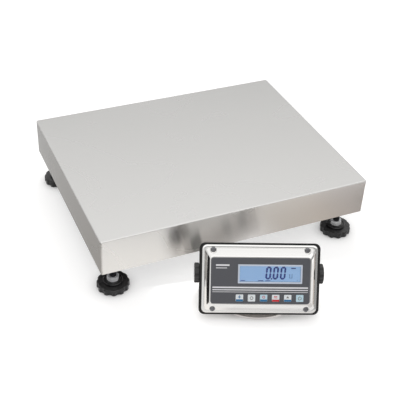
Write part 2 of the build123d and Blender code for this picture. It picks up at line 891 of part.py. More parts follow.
def make_rear_housing():
    """Drawn tub with a flange, screw tabs in its corners and holes for bosses and glands."""
    outside = tub_form(0.0, housing_front, housing_back)
    outside = fillet(outside.faces().sort_by(Axis.Z)[0].edges(), housing_floor_edge)
    inside = tub_form(housing_sheet, housing_front, housing_back + housing_sheet)
    inside = fillet(inside.faces().sort_by(Axis.Z)[0].edges(), housing_floor_edge - housing_sheet)
    flange = rounded_slice(face_width, face_height, face_corner, housing_front - housing_sheet)
    flange = extrude(flange, amount=housing_sheet)
    tab = rod(screw_tab_radius, screw_tab_sheet, housing_front - screw_tab_sheet)
    bush = rod(screw_bush_radius, screw_bush_length, housing_front - screw_tab_sheet - screw_bush_length)
    housing = (flange + outside) - inside
    housing += [(place * (tab + bush)) & outside for place in screw_places()]
    screw_depth = screw_tab_sheet + screw_bush_length
    screw_hole = rod(cover_screw_radius + bolt_clearance, screw_depth)
    back_hole = rod(head_gland_thread + bolt_clearance, housing_sheet)
    holes = [place * screw_hole for place in screw_places(housing_front - screw_depth)]
    holes += [side_frame(side) * rod(boss_radius + weld_clearance, face_width / 2) for side in (-1, 1)]
    holes += [place * back_hole for place in head_gland_places(housing_back)]
    holes += [Pos(breather_u, breather_v, housing_back) * back_hole]
    return housing - holes


boss_end = arm_inner_half - fit_gap


def make_pivot_bosses():
    """Threaded bosses on the pivot axis, one in each side of the housing."""
    inner_end = housing_floor_width / 2 - boss_inside
    shoulder_end = housing_floor_width / 2 - housing_sheet - fit_gap
    boss = rod(boss_radius, boss_end - inner_end, inner_end)
    boss += rod(boss_shoulder, shoulder_end - inner_end, inner_end)
    boss -= rod(stud_radius + stud_clearance, boss_end - inner_end, inner_end)
    return [side_frame(side) * boss for side in (-1, 1)]


def make_cover_screws():
    """Cross-head screws in the cover's pockets."""
    head = rod(cover_screw_head, cover_screw_head_height, step_height)
    head = fillet(head.edges().sort_by(Axis.Z)[-1], cover_screw_round)
    recess_base = step_height + cover_screw_head_height - cross_recess_depth
    recess = Box(cross_recess_length, cross_recess_width, cross_recess_depth, align=standing)
    for angle in (0, 90):
        head -= Pos(0, 0, recess_base) * Rot(0, 0, angle) * recess
    screw = head + rod(cover_screw_radius, cover_screw_length, step_height - cover_screw_length)
    return [place * screw for place in screw_places()]


def make_main_board():
    """Circuit board with its processor, terminal blocks and capacitors."""
    board = rounded_box(main_board_width, main_board_height, board_thickness, main_board_corner)
    cable_slot = rounded_box(cable_slot_width, cable_slot_length, board_thickness, main_board_corner)
    board -= Pos(cable_slot_u, 0, 0) * cable_slot
    processor = rounded_box(processor_size, processor_size, processor_height, chip_corner)
    driver = rounded_box(driver_length, driver_width, driver_height, chip_corner)
    board += Pos(processor_u, processor_v, board_thickness) * processor
    board += Pos(driver_u, driver_v, board_thickness) * driver
    terminal = rounded_box(terminal_length, terminal_depth, terminal_height, chip_corner)
    terminal_v = terminal_edge_distance - main_board_height / 2
    for index in range(terminal_count):
        board += Pos(terminal_u + index * terminal_pitch, terminal_v, board_thickness) * terminal
    capacitor = rod(capacitor_radius, capacitor_height)
    for index in range(capacitor_count):
        board += Pos(capacitor_u + index * capacitor_pitch, capacitor_v, board_thickness) * capacitor
    return Pos(0, 0, main_board_n - board_thickness) * board


housing_floor = housing_back + housing_sheet


def make_board_posts():
    """Posts of both boards: the main board stands on the housing's floor."""
    height = main_board_n - board_thickness - housing_floor
    post = rod(main_post_radius, height, housing_floor)
    spacing_u = main_board_width - 2 * main_post_inset
    spacing_v = main_board_height - 2 * main_post_inset
    return keypad_posts() + [place * post for place in corner_places(spacing_u, spacing_v)]


def battery_cell_centres():
    first = battery_u - battery_cell_radius * (battery_cells - 1)
    return [first + 2 * index * battery_cell_radius for index in range(battery_cells)]


def make_battery_pack():
    """Row of round cells in one shrunk sleeve."""
    radius = battery_cell_radius
    section = Sketch()
    for centre in battery_cell_centres():
        section += Pos(centre, radius) * Circle(radius)
    span = 2 * radius * (battery_cells - 1)
    section += Pos(battery_u, radius) * Rectangle(span, 2 * radius * sleeve_share)
    pack = extrude(section, amount=battery_cell_length / 2, both=True)
    return Location((0, 0, housing_floor), (90, 0, 0)) * pack


def make_battery_strap():
    """Sheet strap over the battery, spot-welded to the housing's floor."""
    half_span = battery_cell_radius * battery_cells + fit_gap
    height = 2 * battery_cell_radius + fit_gap
    on_floor = (Align.CENTER, Align.MIN)
    outer = Rectangle(2 * (half_span + strap_sheet), height + strap_sheet, align=on_floor)
    inner = Rectangle(2 * half_span, height, align=on_floor)
    foot = Rectangle(strap_width, strap_sheet, align=(Align.MIN, Align.MIN))
    section = outer - inner
    section += Pos(half_span, 0) * foot
    section += Pos(-half_span - strap_width, 0) * foot
    strap = extrude(section, amount=strap_width / 2, both=True)
    return Location((battery_u, 0, housing_floor), (90, 0, 0)) * strap


def make_head_glands():
    gland = make_gland(
        head_gland_flats,
        head_gland_thread,
        gland_bore,
        head_gland_flange,
        head_gland_nose,
        head_gland_inside,
    )
    return [place * Rot(180, 0, 0) * gland for place in head_gland_places(housing_back)]


def make_breather():
    """Breather plug in the back of the housing."""
    cap = rod(head_gland_flats / 2, head_gland_flange)
    cap = fillet(cap.edges().sort_by(Axis.Z)[-1], breather_edge)
    plug = cap + rod(head_gland_thread, head_gland_inside, -head_gland_inside)
    return Pos(breather_u, breather_v, housing_back) * Rot(180, 0, 0) * plug


# Stand and clamps, in the stand's frame

def make_stand():
    """Sheet bent into a U, its base with an arc-shaped nose, its arms rounded about the pivot."""
    outer_half = arm_inner_half + stand_sheet
    section_height = pivot_height + arm_head_radius - pad_height
    outer = Rectangle(2 * outer_half, section_height, align=(Align.CENTER, Align.MIN))
    outer = fillet(outer.vertices().group_by(Axis.Y)[0], stand_fold)
    inner = Rectangle(2 * arm_inner_half, section_height, align=(Align.CENTER, Align.MIN))
    inner = fillet(inner.vertices().group_by(Axis.Y)[0], stand_fold - stand_sheet)
    u_section = outer - Pos(0, stand_sheet) * inner
    u_form = extrude(Plane.XZ * u_section, amount=stand_back + stand_front, both=True)
    u_form = Pos(0, 0, pad_height) * u_form

    arm_side = make_face(
        Polyline(
            (-arm_foot_front, pad_height),
            (arm_foot_back, pad_height),
            (arm_foot_back, pad_height + stand_fold),
            (arm_head_radius, pivot_height),
            (-arm_head_radius, pivot_height),
            (-arm_foot_front, pad_height + stand_fold),
            close=True,
        )
    )
    arm_side += Pos(0, pivot_height) * Circle(arm_head_radius)
    arm_form = extrude(Plane.YZ * arm_side, amount=outer_half, both=True)

    base = Rectangle(
        2 * (outer_half - stand_fold), stand_shoulder + stand_back, align=(Align.CENTER, Align.MIN)
    )
    base = Pos(0, -stand_shoulder) * base
    nose = Pos(0, nose_radius - stand_front) * Circle(nose_radius)
    nose_reach = Rectangle(2 * nose_radius, stand_front, align=(Align.CENTER, Align.MIN))
    nose &= Pos(0, -stand_front) * nose_reach
    base += nose
    base_form = Pos(0, 0, pad_height) * extrude(base, amount=stand_sheet)
    back_edges = base_form.edges().filter_by(Axis.Z).group_by(Axis.Y)[-1]
    base_form = fillet(back_edges, stand_edge_corner)

    stand = (u_form & arm_form) + base_form
    for side in (-1, 1):
        pivot = Plane(origin=(0, 0, pivot_height), x_dir=(0, 1, 0), z_dir=(side, 0, 0)).location
        stand -= pivot * rod(stud_radius + stud_clearance, outer_half)
        stand -= Pos(side * stand_hole_spacing / 2, 0, pad_height) * rod(stand_hole_radius, stand_sheet)
    return stand


def make_stand_pads():
    pad = rod(pad_radius, pad_height)
    pad = chamfer(pad.edges().sort_by(Axis.Z)[0], pad_chamfer)
    spots = [(front_pad_x, front_pad_y), (back_pad_x, back_pad_y)]
    return [Pos(side * spot_x, spot_y, 0) * pad for spot_x, spot_y in spots for side in (-1, 1)]


def pivot_frame(side):
    """Frame on the pivot axis in the stand's frame, its Z pointing outwards."""
    return Plane(origin=(0, 0, pivot_height), x_dir=(0, 1, 0), z_dir=(side, 0, 0)).location


washer_base = arm_inner_half + stand_sheet
knob_base = washer_base + washer_thickness + fit_gap


def make_washers():
    ring = rod(washer_radius, washer_thickness, washer_base)
    ring -= rod(stud_radius + stud_clearance, washer_thickness, washer_base)
    return [pivot_frame(side) * ring for side in (-1, 1)]


def make_knob(side):
    """Fluted clamp knob with a low skirt, and the threaded stud that is moulded in it."""
    body = rod(knob_radius, knob_thickness - knob_skirt_height, knob_base + knob_skirt_height)
    body = fillet(body.edges().filter_by(GeomType.CIRCLE), knob_edge)
    flute_centre = knob_radius + knob_flute_radius - knob_flute_depth
    flute = Pos(flute_centre, 0, 0) * rod(knob_flute_radius, knob_thickness, knob_base)
    body -= [Rot(0, 0, index * 360 / knob_flutes) * flute for index in range(knob_flutes)]
    body += rod(knob_skirt_radius, knob_skirt_height + knob_edge, knob_base)
    stud_end = knob_base + stud_depth
    body -= rod(stud_radius + weld_clearance, stud_end - knob_base, knob_base)
    inner_end = housing_floor_width / 2 - boss_inside + fit_gap
    stud = rod(stud_radius, stud_end - inner_end, inner_end)
    stud = chamfer(stud.edges().sort_by(Axis.Z)[0], stud_chamfer)
    return [pivot_frame(side) * body, pivot_frame(side) * stud]


# All pieces. Platform pieces are modelled in place, display pieces are moved to theirs.

platform_pieces = {
    "weighing_plate": make_weighing_plate(),
    "plate_bumpers": make_bumpers(),
    "carrier_spine": make_carrier_spine(),
    "carrier_arms": make_carrier_arms(),
    "carrier_arm_caps": make_arm_caps(),
    "upper_spacer": make_spacer(free_end_x, cell_top),
    "free_end_bolts": make_free_end_bolts(),
    "load_cell": make_load_cell(),
    "gauge_covers": make_gauge_covers(),
    "lower_spacer": make_spacer(fixed_end_x, beam_top),
    "fixed_end_bolts": make_fixed_end_bolts(),
    "cross_beam": make_cross_beam(),
    "side_rails": make_side_rails(),
    "side_rail_caps": make_rail_caps(),
    "foot_bushes": make_foot_bushes(),
    "overload_stops": make_overload_stops(),
    "cell_cable_gland": make_cell_gland(),
    "spirit_level_case": make_level_case(),
    "spirit_level_vial": make_level_vial(),
}

foot_pieces = {
    "foot_sole_": [make_sole()],
    "star_wheel_": [make_star_wheel()],
    "foot_spindle_": make_spindle_and_nut(),
}
for corner, (side_x, side_y) in foot_corners.items():
    foot_place = Pos(side_x * rail_spacing / 2, side_y * foot_spacing_y / 2, 0)
    for name, piece in foot_pieces.items():
        platform_pieces[name + corner] = [foot_place * solid for solid in piece]

head_pieces = {
    "front_cover": make_front_cover(),
    "cover_gasket": make_gasket(),
    "membrane_panel": make_membrane_panel(),
    "window_bezel": make_window_bezel(),
    "window_lens": make_window_lens(),
    "lcd_module": make_lcd_module(),
    "keypad_board": make_keypad_board(),
    "rear_housing": make_rear_housing(),
    "pivot_bosses": make_pivot_bosses(),
    "cover_screws": make_cover_screws(),
    "main_board": make_main_board(),
    "board_posts": make_board_posts(),
    "battery_pack": make_battery_pack(),
    "battery_strap": make_battery_strap(),
    "head_cable_glands": make_head_glands(),
    "breather_plug": make_breather(),
}
key_piece = make_key()
for index, key_place in enumerate(key_places()):
    head_pieces["key_" + str(index + 1)] = key_place * key_piece

stand_pieces = {
    "display_stand": make_stand(),
    "stand_pads": make_stand_pads(),
    "friction_washers": make_washers(),
    "clamp_knob_left": make_knob(-1),
    "clamp_knob_right": make_knob(1),
}


def moved(piece, place):
    """Piece, or each solid of a group of pieces, at the place."""
    solids = piece if isinstance(piece, list) else [piece]
    return [place * solid for solid in solids]


placed = {}
for pieces, place in (
    (platform_pieces, Location()),
    (head_pieces, head_place),
    (stand_pieces, stand_place),
):
    for name, piece in pieces.items():
        placed[name] = moved(piece, place)

# The origin is on the floor, in the middle of the whole scale's outline.
whole = Compound([solid for solids in placed.values() for solid in solids]).bounding_box()
to_origin = Location((-whole.center().X, -whole.center().Y, -whole.min.Z))

for name, solids in placed.items():
    shapes = moved(solids, to_origin)
    whole_piece = shapes[0] if len(shapes) == 1 else Compound(shapes)
    export_step(whole_piece, os.path.join("parts", name + ".step"))

print("nodes", len(placed))
print("origin shift", to_origin.position)
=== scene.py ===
import json
import math
import bmesh
import bpy
from mathutils import Matrix, Vector
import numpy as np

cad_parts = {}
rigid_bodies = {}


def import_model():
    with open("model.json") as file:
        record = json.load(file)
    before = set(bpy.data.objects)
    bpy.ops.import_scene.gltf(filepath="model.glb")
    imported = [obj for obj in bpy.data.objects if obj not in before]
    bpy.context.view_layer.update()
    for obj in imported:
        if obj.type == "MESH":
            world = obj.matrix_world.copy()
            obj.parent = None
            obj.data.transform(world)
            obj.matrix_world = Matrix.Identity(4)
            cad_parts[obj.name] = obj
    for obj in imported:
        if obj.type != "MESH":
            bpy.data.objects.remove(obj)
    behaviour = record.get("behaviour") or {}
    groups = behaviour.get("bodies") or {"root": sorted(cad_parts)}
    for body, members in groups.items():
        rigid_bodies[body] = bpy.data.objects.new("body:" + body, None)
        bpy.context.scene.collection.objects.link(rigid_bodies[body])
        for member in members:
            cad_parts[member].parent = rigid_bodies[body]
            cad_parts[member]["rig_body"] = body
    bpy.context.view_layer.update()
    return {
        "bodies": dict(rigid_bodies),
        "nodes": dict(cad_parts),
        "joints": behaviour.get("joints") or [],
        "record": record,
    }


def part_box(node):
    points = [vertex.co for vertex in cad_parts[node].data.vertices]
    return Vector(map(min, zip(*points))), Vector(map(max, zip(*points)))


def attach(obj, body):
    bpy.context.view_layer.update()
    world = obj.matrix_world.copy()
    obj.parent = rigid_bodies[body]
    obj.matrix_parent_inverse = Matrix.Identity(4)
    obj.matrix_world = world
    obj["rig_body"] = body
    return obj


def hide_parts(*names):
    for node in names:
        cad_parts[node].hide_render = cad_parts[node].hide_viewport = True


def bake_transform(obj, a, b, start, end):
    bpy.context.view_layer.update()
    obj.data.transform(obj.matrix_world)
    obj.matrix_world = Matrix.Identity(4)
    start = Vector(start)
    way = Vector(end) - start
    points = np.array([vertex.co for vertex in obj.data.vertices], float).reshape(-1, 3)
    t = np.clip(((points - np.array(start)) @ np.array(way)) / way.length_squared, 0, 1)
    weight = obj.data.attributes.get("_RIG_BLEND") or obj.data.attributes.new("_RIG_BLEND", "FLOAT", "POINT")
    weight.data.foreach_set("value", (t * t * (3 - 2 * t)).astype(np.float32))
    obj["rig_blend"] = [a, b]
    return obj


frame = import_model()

mm = 0.001
weldDistance = 0.002 * mm  # points closer than this become one
nodes = frame["nodes"]
scene = bpy.context.scene
plateLow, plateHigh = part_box("weighing_plate")
corners = ["front_left", "front_right", "back_left", "back_right"]
print("frame loaded,", len(nodes), "nodes")


def linear(color):
    channels = [c / 255 for c in color]
    return tuple(c / 12.92 if c < 0.04045 else ((c + 0.055) / 1.055) ** 2.4 for c in channels) + (1.0,)


# small helpers for node trees
def wire(tree, kind, inputs=None, **settings):
    node = tree.nodes.new(kind)
    for key, value in settings.items():
        setattr(node, key, value)
    for key, value in (inputs or {}).items():
        if isinstance(value, bpy.types.NodeSocket):
            tree.links.new(value, node.inputs[key])
        else:
            node.inputs[key].default_value = value
    return node


def objectPlace(tree):
    return wire(tree, "ShaderNodeTexCoord").outputs["Object"]


def noise(tree, place, scale, detail, distortion=0.0):
    return wire(tree, "ShaderNodeTexNoise", {"Vector": place, "Scale": scale, "Detail": detail,
                                             "Distortion": distortion}).outputs["Fac"]


def compute(tree, operation, *values):
    return wire(tree, "ShaderNodeMath", dict(enumerate(values)), operation=operation).outputs[0]


def remap(tree, value, low, high, bottom=0.0, top=1.0):
    return wire(tree, "ShaderNodeMapRange", {"Value": value, "From Min": low, "From Max": high,
                                             "To Min": bottom, "To Max": top}).outputs["Result"]


def mixValues(tree, factor, first, second):
    return wire(tree, "ShaderNodeMix", {0: factor, 2: first, 3: second}).outputs[0]


def mixColors(tree, factor, first, second, blend="MIX"):
    return wire(tree, "ShaderNodeMix", {0: factor, 6: first, 7: second}, data_type="RGBA",
                blend_type=blend).outputs[2]


def newGroup(name, kind, inputs, outputs):
    tree = bpy.data.node_groups.new(name, kind)
    for label, socketKind, value in inputs:
        socket = tree.interface.new_socket(name=label, in_out="INPUT", socket_type=socketKind)
        if value is not None:
            socket.default_value = value
    for label, socketKind in outputs:
        tree.interface.new_socket(name=label, in_out="OUTPUT", socket_type=socketKind)
    return tree, tree.nodes.new("NodeGroupInput").outputs, tree.nodes.new("NodeGroupOutput").inputs


# fine grain of a surface: brush lines when the vector is stretched, moulded skin when it isn't
def makeGrain():
    tree, given, out = newGroup(
        "surfaceGrain", "ShaderNodeTree",
        [("Vector", "NodeSocketVector", None), ("Fineness", "NodeSocketFloat", 400.0),
         ("Contrast", "NodeSocketFloat", 0.1)],
        [("Shade", "NodeSocketFloat"), ("Height", "NodeSocketFloat")],
    )
    fine = noise(tree, given["Vector"], given["Fineness"], 3.0)
    scaled = compute(tree, "MULTIPLY", compute(tree, "SUBTRACT", fine, 0.5), given["Contrast"])
    tree.links.new(compute(tree, "ADD", scaled, 1.0), out["Shade"])
    tree.links.new(fine, out["Height"])
    return tree


# smears and finger marks, which change the gloss and not the colour
def makeMarks():
    tree, given, out = newGroup(
        "handlingMarks", "ShaderNodeTree",
        [("Vector", "NodeSocketVector", None), ("Size", "NodeSocketFloat", 14.0),
         ("Amount", "NodeSocketFloat", 0.3), ("Gloss", "NodeSocketFloat", 0.3)],
        [("Roughness", "NodeSocketFloat")],
    )
    smear = remap(tree, noise(tree, given["Vector"], given["Size"], 5.0, distortion=0.6), 0.42, 0.68)
    added = compute(tree, "MULTIPLY", smear, given["Amount"])
    tree.links.new(compute(tree, "ADD", added, given["Gloss"]), out["Roughness"])
    return tree


# thin dust that lies on faces which look up
def makeDust():
    tree, given, out = newGroup(
        "settledDust", "ShaderNodeTree",
        [("Color", "NodeSocketColor", None), ("Vector", "NodeSocketVector", None),
         ("Amount", "NodeSocketFloat", 0.1), ("Dust", "NodeSocketColor", linear((190, 188, 182)))],
        [("Color", "NodeSocketColor")],
    )
    facing = wire(tree, "ShaderNodeSeparateXYZ", {0: wire(tree, "ShaderNodeNewGeometry").outputs["Normal"]})
    upward = compute(tree, "MAXIMUM", facing.outputs["Z"], 0.0)
    patch = compute(tree, "MULTIPLY", upward, noise(tree, given["Vector"], 60.0, 6.0))
    share = compute(tree, "MULTIPLY", patch, given["Amount"])
    tree.links.new(mixColors(tree, share, given["Color"], given["Dust"]), out["Color"])
    return tree


surfaceGrain = makeGrain()
handlingMarks = makeMarks()
settledDust = makeDust()


def startMaterial(name):
    material = bpy.data.materials.new(name)
    material.use_nodes = True
    return material, material.node_tree, material.node_tree.nodes["Principled BSDF"]


def markGloss(tree, shader, place, size, amount, gloss):
    marks = wire(tree, "ShaderNodeGroup", node_tree=handlingMarks)
    marks.inputs["Size"].default_value = size
    marks.inputs["Amount"].default_value = amount
    marks.inputs["Gloss"].default_value = gloss
    tree.links.new(place, marks.inputs["Vector"])
    tree.links.new(marks.outputs["Roughness"], shader.inputs["Roughness"])


def makeMaterial(name, look):
    material, tree, shader = startMaterial(name)
    place = objectPlace(tree)
    if "uvGrain" in look:
        place = wire(tree, "ShaderNodeUVMap", uv_map=look["uvGrain"]).outputs["UV"]
        tangent = wire(tree, "ShaderNodeTangent", direction_type="UV_MAP", uv_map=look["uvGrain"])
        tree.links.new(tangent.outputs["Tangent"], shader.inputs["Tangent"])
    turned = wire(tree, "ShaderNodeMapping", {
        "Vector": place, "Scale": look.get("stretch", (1, 1, 1)),
        "Rotation": [math.radians(a) for a in look.get("turn", (0, 0, 0))]})
    grain = wire(tree, "ShaderNodeGroup", node_tree=surfaceGrain)
    grain.inputs["Fineness"].default_value = look.get("fineness", 900.0)
    grain.inputs["Contrast"].default_value = look.get("contrast", 0.12)
    tree.links.new(turned.outputs["Vector"], grain.inputs["Vector"])
    markGloss(tree, shader, place, look.get("markSize", 18.0), look.get("marks", 0.08), look["roughness"])
    dust = wire(tree, "ShaderNodeGroup", node_tree=settledDust)
    dust.inputs["Amount"].default_value = look.get("dust", 0.05)
    tone = mixColors(tree, 1.0, linear(look["color"]), grain.outputs["Shade"], "MULTIPLY")
    tree.links.new(tone, dust.inputs["Color"])
    tree.links.new(place, dust.inputs["Vector"])
    tree.links.new(dust.outputs["Color"], shader.inputs["Base Color"])
    bump = wire(tree, "ShaderNodeBump", {"Height": grain.outputs["Height"], "Strength": look.get("bump", 0.1),
                                         "Distance": look.get("depth", 0.05) * mm})
    tree.links.new(bump.outputs["Normal"], shader.inputs["Normal"])
    for label, value in look.get("sockets", {}).items():
        shader.inputs[label].default_value = value
    return material


finishes = {
    "plateSteel": {"color": (214, 213, 211), "roughness": 0.25, "marks": 0.05, "markSize": 5.0, "dust": 0.04,
                   "uvGrain": "brushing", "stretch": (6, 900, 1), "fineness": 1.0, "contrast": 0.05,
                   "bump": 0.06, "depth": 0.02,
                   "sockets": {"Metallic": 1.0, "Anisotropic": 0.8, "Anisotropic Rotation": 0.25}},
    "tubSteel": {"color": (228, 226, 224), "roughness": 0.3, "marks": 0.05, "fineness": 900.0,
                 "contrast": 0.06, "bump": 0.05, "depth": 0.02, "sockets": {"Metallic": 0.65}},
    "screwSteel": {"color": (118, 118, 121), "roughness": 0.2, "marks": 0.1, "markSize": 90.0,
                   "fineness": 1800.0, "contrast": 0.15, "bump": 0.06, "depth": 0.02,
                   "sockets": {"Metallic": 1.0}},
    "satinSteel": {"color": (226, 222, 219), "roughness": 0.42, "marks": 0.07, "stretch": (0.03, 1, 1),
                   "turn": (0, 0, -21.7), "fineness": 1500.0, "contrast": 0.1, "bump": 0.08, "depth": 0.02,
                   "sockets": {"Metallic": 0.6}},
    "polishedSteel": {"color": (222, 221, 219), "roughness": 0.07, "marks": 0.06, "markSize": 30.0,
                      "dust": 0.02, "fineness": 700.0, "contrast": 0.03, "bump": 0.02, "depth": 0.02,
                      "sockets": {"Metallic": 1.0}},
    "framePaint": {"color": (112, 114, 117), "roughness": 0.42, "marks": 0.1, "dust": 0.12, "fineness": 500.0,
                   "contrast": 0.16, "bump": 0.3, "depth": 0.12,
                   "sockets": {"Metallic": 0.0, "Coat Weight": 0.2}},
    "zincPlate": {"color": (196, 199, 203), "roughness": 0.24, "marks": 0.14, "markSize": 60.0, "dust": 0.05,
                  "fineness": 1400.0, "contrast": 0.12, "bump": 0.06, "depth": 0.02,
                  "sockets": {"Metallic": 1.0}},
    "nutPlate": {"color": (232, 233, 235), "roughness": 0.3, "marks": 0.1, "markSize": 60.0, "dust": 0.03,
                 "fineness": 1400.0, "contrast": 0.1, "bump": 0.05, "depth": 0.02,
                 "sockets": {"Metallic": 0.35}},
    "blackSteel": {"color": (46, 46, 49), "roughness": 0.3, "marks": 0.12, "markSize": 50.0, "dust": 0.04,
                   "fineness": 1200.0, "contrast": 0.2, "bump": 0.08, "depth": 0.02,
                   "sockets": {"Metallic": 0.9}},
    "cellAluminium": {"color": (205, 207, 208), "roughness": 0.34, "stretch": (0.05, 1, 1),
                      "fineness": 1600.0, "contrast": 0.14, "bump": 0.12, "depth": 0.03,
                      "sockets": {"Metallic": 1.0}},
    "rubber": {"color": (27, 27, 28), "roughness": 0.62, "marks": 0.12, "dust": 0.06, "fineness": 1800.0,
               "contrast": 0.3, "bump": 0.3, "depth": 0.05, "sockets": {"Specular IOR Level": 0.2}},
    "nylon": {"color": (20, 20, 22), "roughness": 0.27, "marks": 0.12, "markSize": 40.0, "dust": 0.08,
              "fineness": 2200.0, "contrast": 0.25, "bump": 0.22, "depth": 0.05,
              "sockets": {"Specular IOR Level": 0.45}},
    "whiteCover": {"color": (222, 221, 214), "roughness": 0.5, "fineness": 900.0, "contrast": 0.05,
                   "bump": 0.12},
    "panelFilm": {"color": (85, 86, 91), "roughness": 0.38, "marks": 0.07, "markSize": 40.0, "dust": 0.03,
                  "fineness": 3000.0, "contrast": 0.08, "bump": 0.12, "depth": 0.03,
                  "sockets": {"Specular IOR Level": 0.35}},
    "bezelPlastic": {"color": (210, 218, 232), "roughness": 0.3, "fineness": 2000.0, "contrast": 0.05,
                     "bump": 0.06},
    "keyFilm": {"color": (236, 241, 244), "roughness": 0.32, "marks": 0.08, "markSize": 90.0,
                "fineness": 3000.0, "contrast": 0.04, "bump": 0.08, "depth": 0.02, "dust": 0.0},
    "lightKeyFilm": {"color": (198, 226, 238), "roughness": 0.32, "marks": 0.08, "markSize": 90.0,
                     "fineness": 3000.0, "contrast": 0.04, "bump": 0.08, "depth": 0.02, "dust": 0.0},
    "blueInk": {"color": (38, 110, 158), "roughness": 0.34, "fineness": 3000.0, "contrast": 0.06,
                "bump": 0.05, "dust": 0.0},
    "redInk": {"color": (206, 30, 44), "roughness": 0.34, "fineness": 3000.0, "contrast": 0.06, "bump": 0.05,
               "dust": 0.0},
    "greyInk": {"color": (120, 116, 112), "roughness": 0.4, "fineness": 3000.0, "contrast": 0.08,
                "bump": 0.05, "dust": 0.0},
    "whiteInk": {"color": (238, 238, 240), "roughness": 0.36, "fineness": 3000.0, "contrast": 0.04,
                 "bump": 0.05, "dust": 0.0},
    "displayInk": {"color": (10, 36, 112), "roughness": 0.3, "fineness": 2500.0, "contrast": 0.2,
                   "bump": 0.03, "dust": 0.0},
    "faintInk": {"color": (96, 128, 168), "roughness": 0.3, "fineness": 2500.0, "contrast": 0.1, "bump": 0.03,
                 "dust": 0.0},
    "boardGreen": {"color": (26, 92, 54), "roughness": 0.36, "fineness": 260.0, "contrast": 0.5, "bump": 0.2,
                   "depth": 0.05, "sockets": {"Coat Weight": 0.3}},
    "brass": {"color": (214, 183, 112), "roughness": 0.25, "fineness": 1500.0, "contrast": 0.12,
              "sockets": {"Metallic": 1.0}},
    "sleeve": {"color": (38, 70, 150), "roughness": 0.3, "fineness": 120.0, "contrast": 0.2, "bump": 0.15,
               "depth": 0.2, "sockets": {"Coat Weight": 0.4}},
}
materials = {name: makeMaterial(name, look) for name, look in finishes.items()}


# lit blue face of the display, a little uneven as a backlight is
def makeDisplayGlow(name, look):
    material, tree, shader = startMaterial(name)
    cloud = noise(tree, objectPlace(tree), look["unevenness"], 1.0)
    tone = mixColors(tree, cloud, linear(look["near"]), linear(look["far"]))
    tree.links.new(tone, shader.inputs["Emission Color"])
    shader.inputs["Base Color"].default_value = linear(look["unlit"])
    shader.inputs["Emission Strength"].default_value = look["strength"]
    shader.inputs["Roughness"].default_value = look["roughness"]
    return material


# clear window and vial: glass with fine wiping marks in its gloss
def makeClear(name, look):
    material, tree, shader = startMaterial(name)
    markGloss(tree, shader, objectPlace(tree), look["markSize"], look["marks"], look["roughness"])
    shader.inputs["Base Color"].default_value = linear(look["color"])
    shader.inputs["Transmission Weight"].default_value = 1.0
    shader.inputs["IOR"].default_value = look["ior"]
    return material


clearLooks = {
    "window": {"color": (250, 252, 255), "roughness": 0.02, "marks": 0.02, "markSize": 50.0, "ior": 1.2},
    "vial": {"color": (226, 240, 120), "roughness": 0.03, "marks": 0.02, "markSize": 50.0, "ior": 1.4},
}
displayGlow = {"near": (134, 167, 203), "far": (150, 181, 210), "unlit": (60, 80, 110), "unevenness": 9.0,
               "strength": 0.76, "roughness": 0.3}
materials["displayGlow"] = makeDisplayGlow("displayGlow", displayGlow)
for name, look in clearLooks.items():
    materials[name] = makeClear(name, look)
print("materials made,", len(materials))


# a finished piece rides on the body of the CAD nodes that it stands for
def addPiece(name, mesh, material, body, stands=()):
    mesh.name = name
    mesh.materials.clear()
    mesh.materials.append(materials[material])
    piece = bpy.data.objects.new(name, mesh)
    scene.collection.objects.link(piece)
    if body:
        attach(piece, body)
    if stands:
        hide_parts(*stands)
    return piece


def smoothMesh(mesh, angle):
    for label in [a.name for a in mesh.attributes if a.name in ("custom_normal", "sharp_edge", "sharp_face")]:
        mesh.attributes.remove(mesh.attributes[label])
    mesh.shade_smooth()
    mesh.set_sharp_from_angle(angle=math.radians(angle))


def meshFrom(name, bm):
    mesh = bpy.data.meshes.new(name)
    bm.to_mesh(mesh)
    bm.free()
    return mesh


# merged copy of CAD nodes, so that its round faces shade smoothly; keep picks islands by their height
def cadMesh(name, nodeNames, angle=30.0, keep=None):
    bm = bmesh.new()
    for nodeName in nodeNames:
        bm.from_mesh(nodes[nodeName].data)
    bmesh.ops.remove_doubles(bm, verts=bm.verts, dist=weldDistance)
    if keep:
        dropIslands(bm, keep)
    mesh = meshFrom(name, bm)
    smoothMesh(mesh, angle)
    return mesh


def dropIslands(bm, keep):
    bm.verts.ensure_lookup_table()
    seen = set()
    unwanted = []
    for start in bm.verts:
        if start in seen:
            continue
        island = []
        stack = [start]
        seen.add(start)
        while stack:
            vert = stack.pop()
            island.append(vert)
            for edge in vert.link_edges:
                other = edge.other_vert(vert)
                if other not in seen:
                    seen.add(other)
                    stack.append(other)
        if not keep(island):
            unwanted += island
    bmesh.ops.delete(bm, geom=unwanted, context="VERTS")


def dress(name, nodeNames, material, angle=30.0):
    mesh = cadMesh(name, nodeNames, angle)
    addPiece(name, mesh, material, nodes[nodeNames[0]]["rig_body"], nodeNames)


# each entry names the CAD nodes and the finish, and the smoothing angle where it isn't the usual one
def dressAll(parts):
    for name, settings in parts.items():
        dress(name, *settings)


# weighing plate: brushed along its long side, so the brush lines run down its short skirts
platePan = {"smoothing": 40.0, "sideFacing": 0.75, "topFacing": 0.5}
panMesh = cadMesh("plate_pan", ["weighing_plate"], platePan["smoothing"])
brushing = panMesh.uv_layers.new(name="brushing")
for face in panMesh.polygons:
    sideways = abs(face.normal.x) > platePan["sideFacing"]
    upright = abs(face.normal.z) < platePan["topFacing"]
    for corner in face.loop_indices:
        point = panMesh.vertices[panMesh.loops[corner].vertex_index].co
        along = point.z if sideways else point.x
        across = point.y if sideways or not upright else point.z
        brushing.data[corner].uv = (along, across)
addPiece("plate_pan", panMesh, "plateSteel", "plate", ["weighing_plate"])
print("weighing plate done")

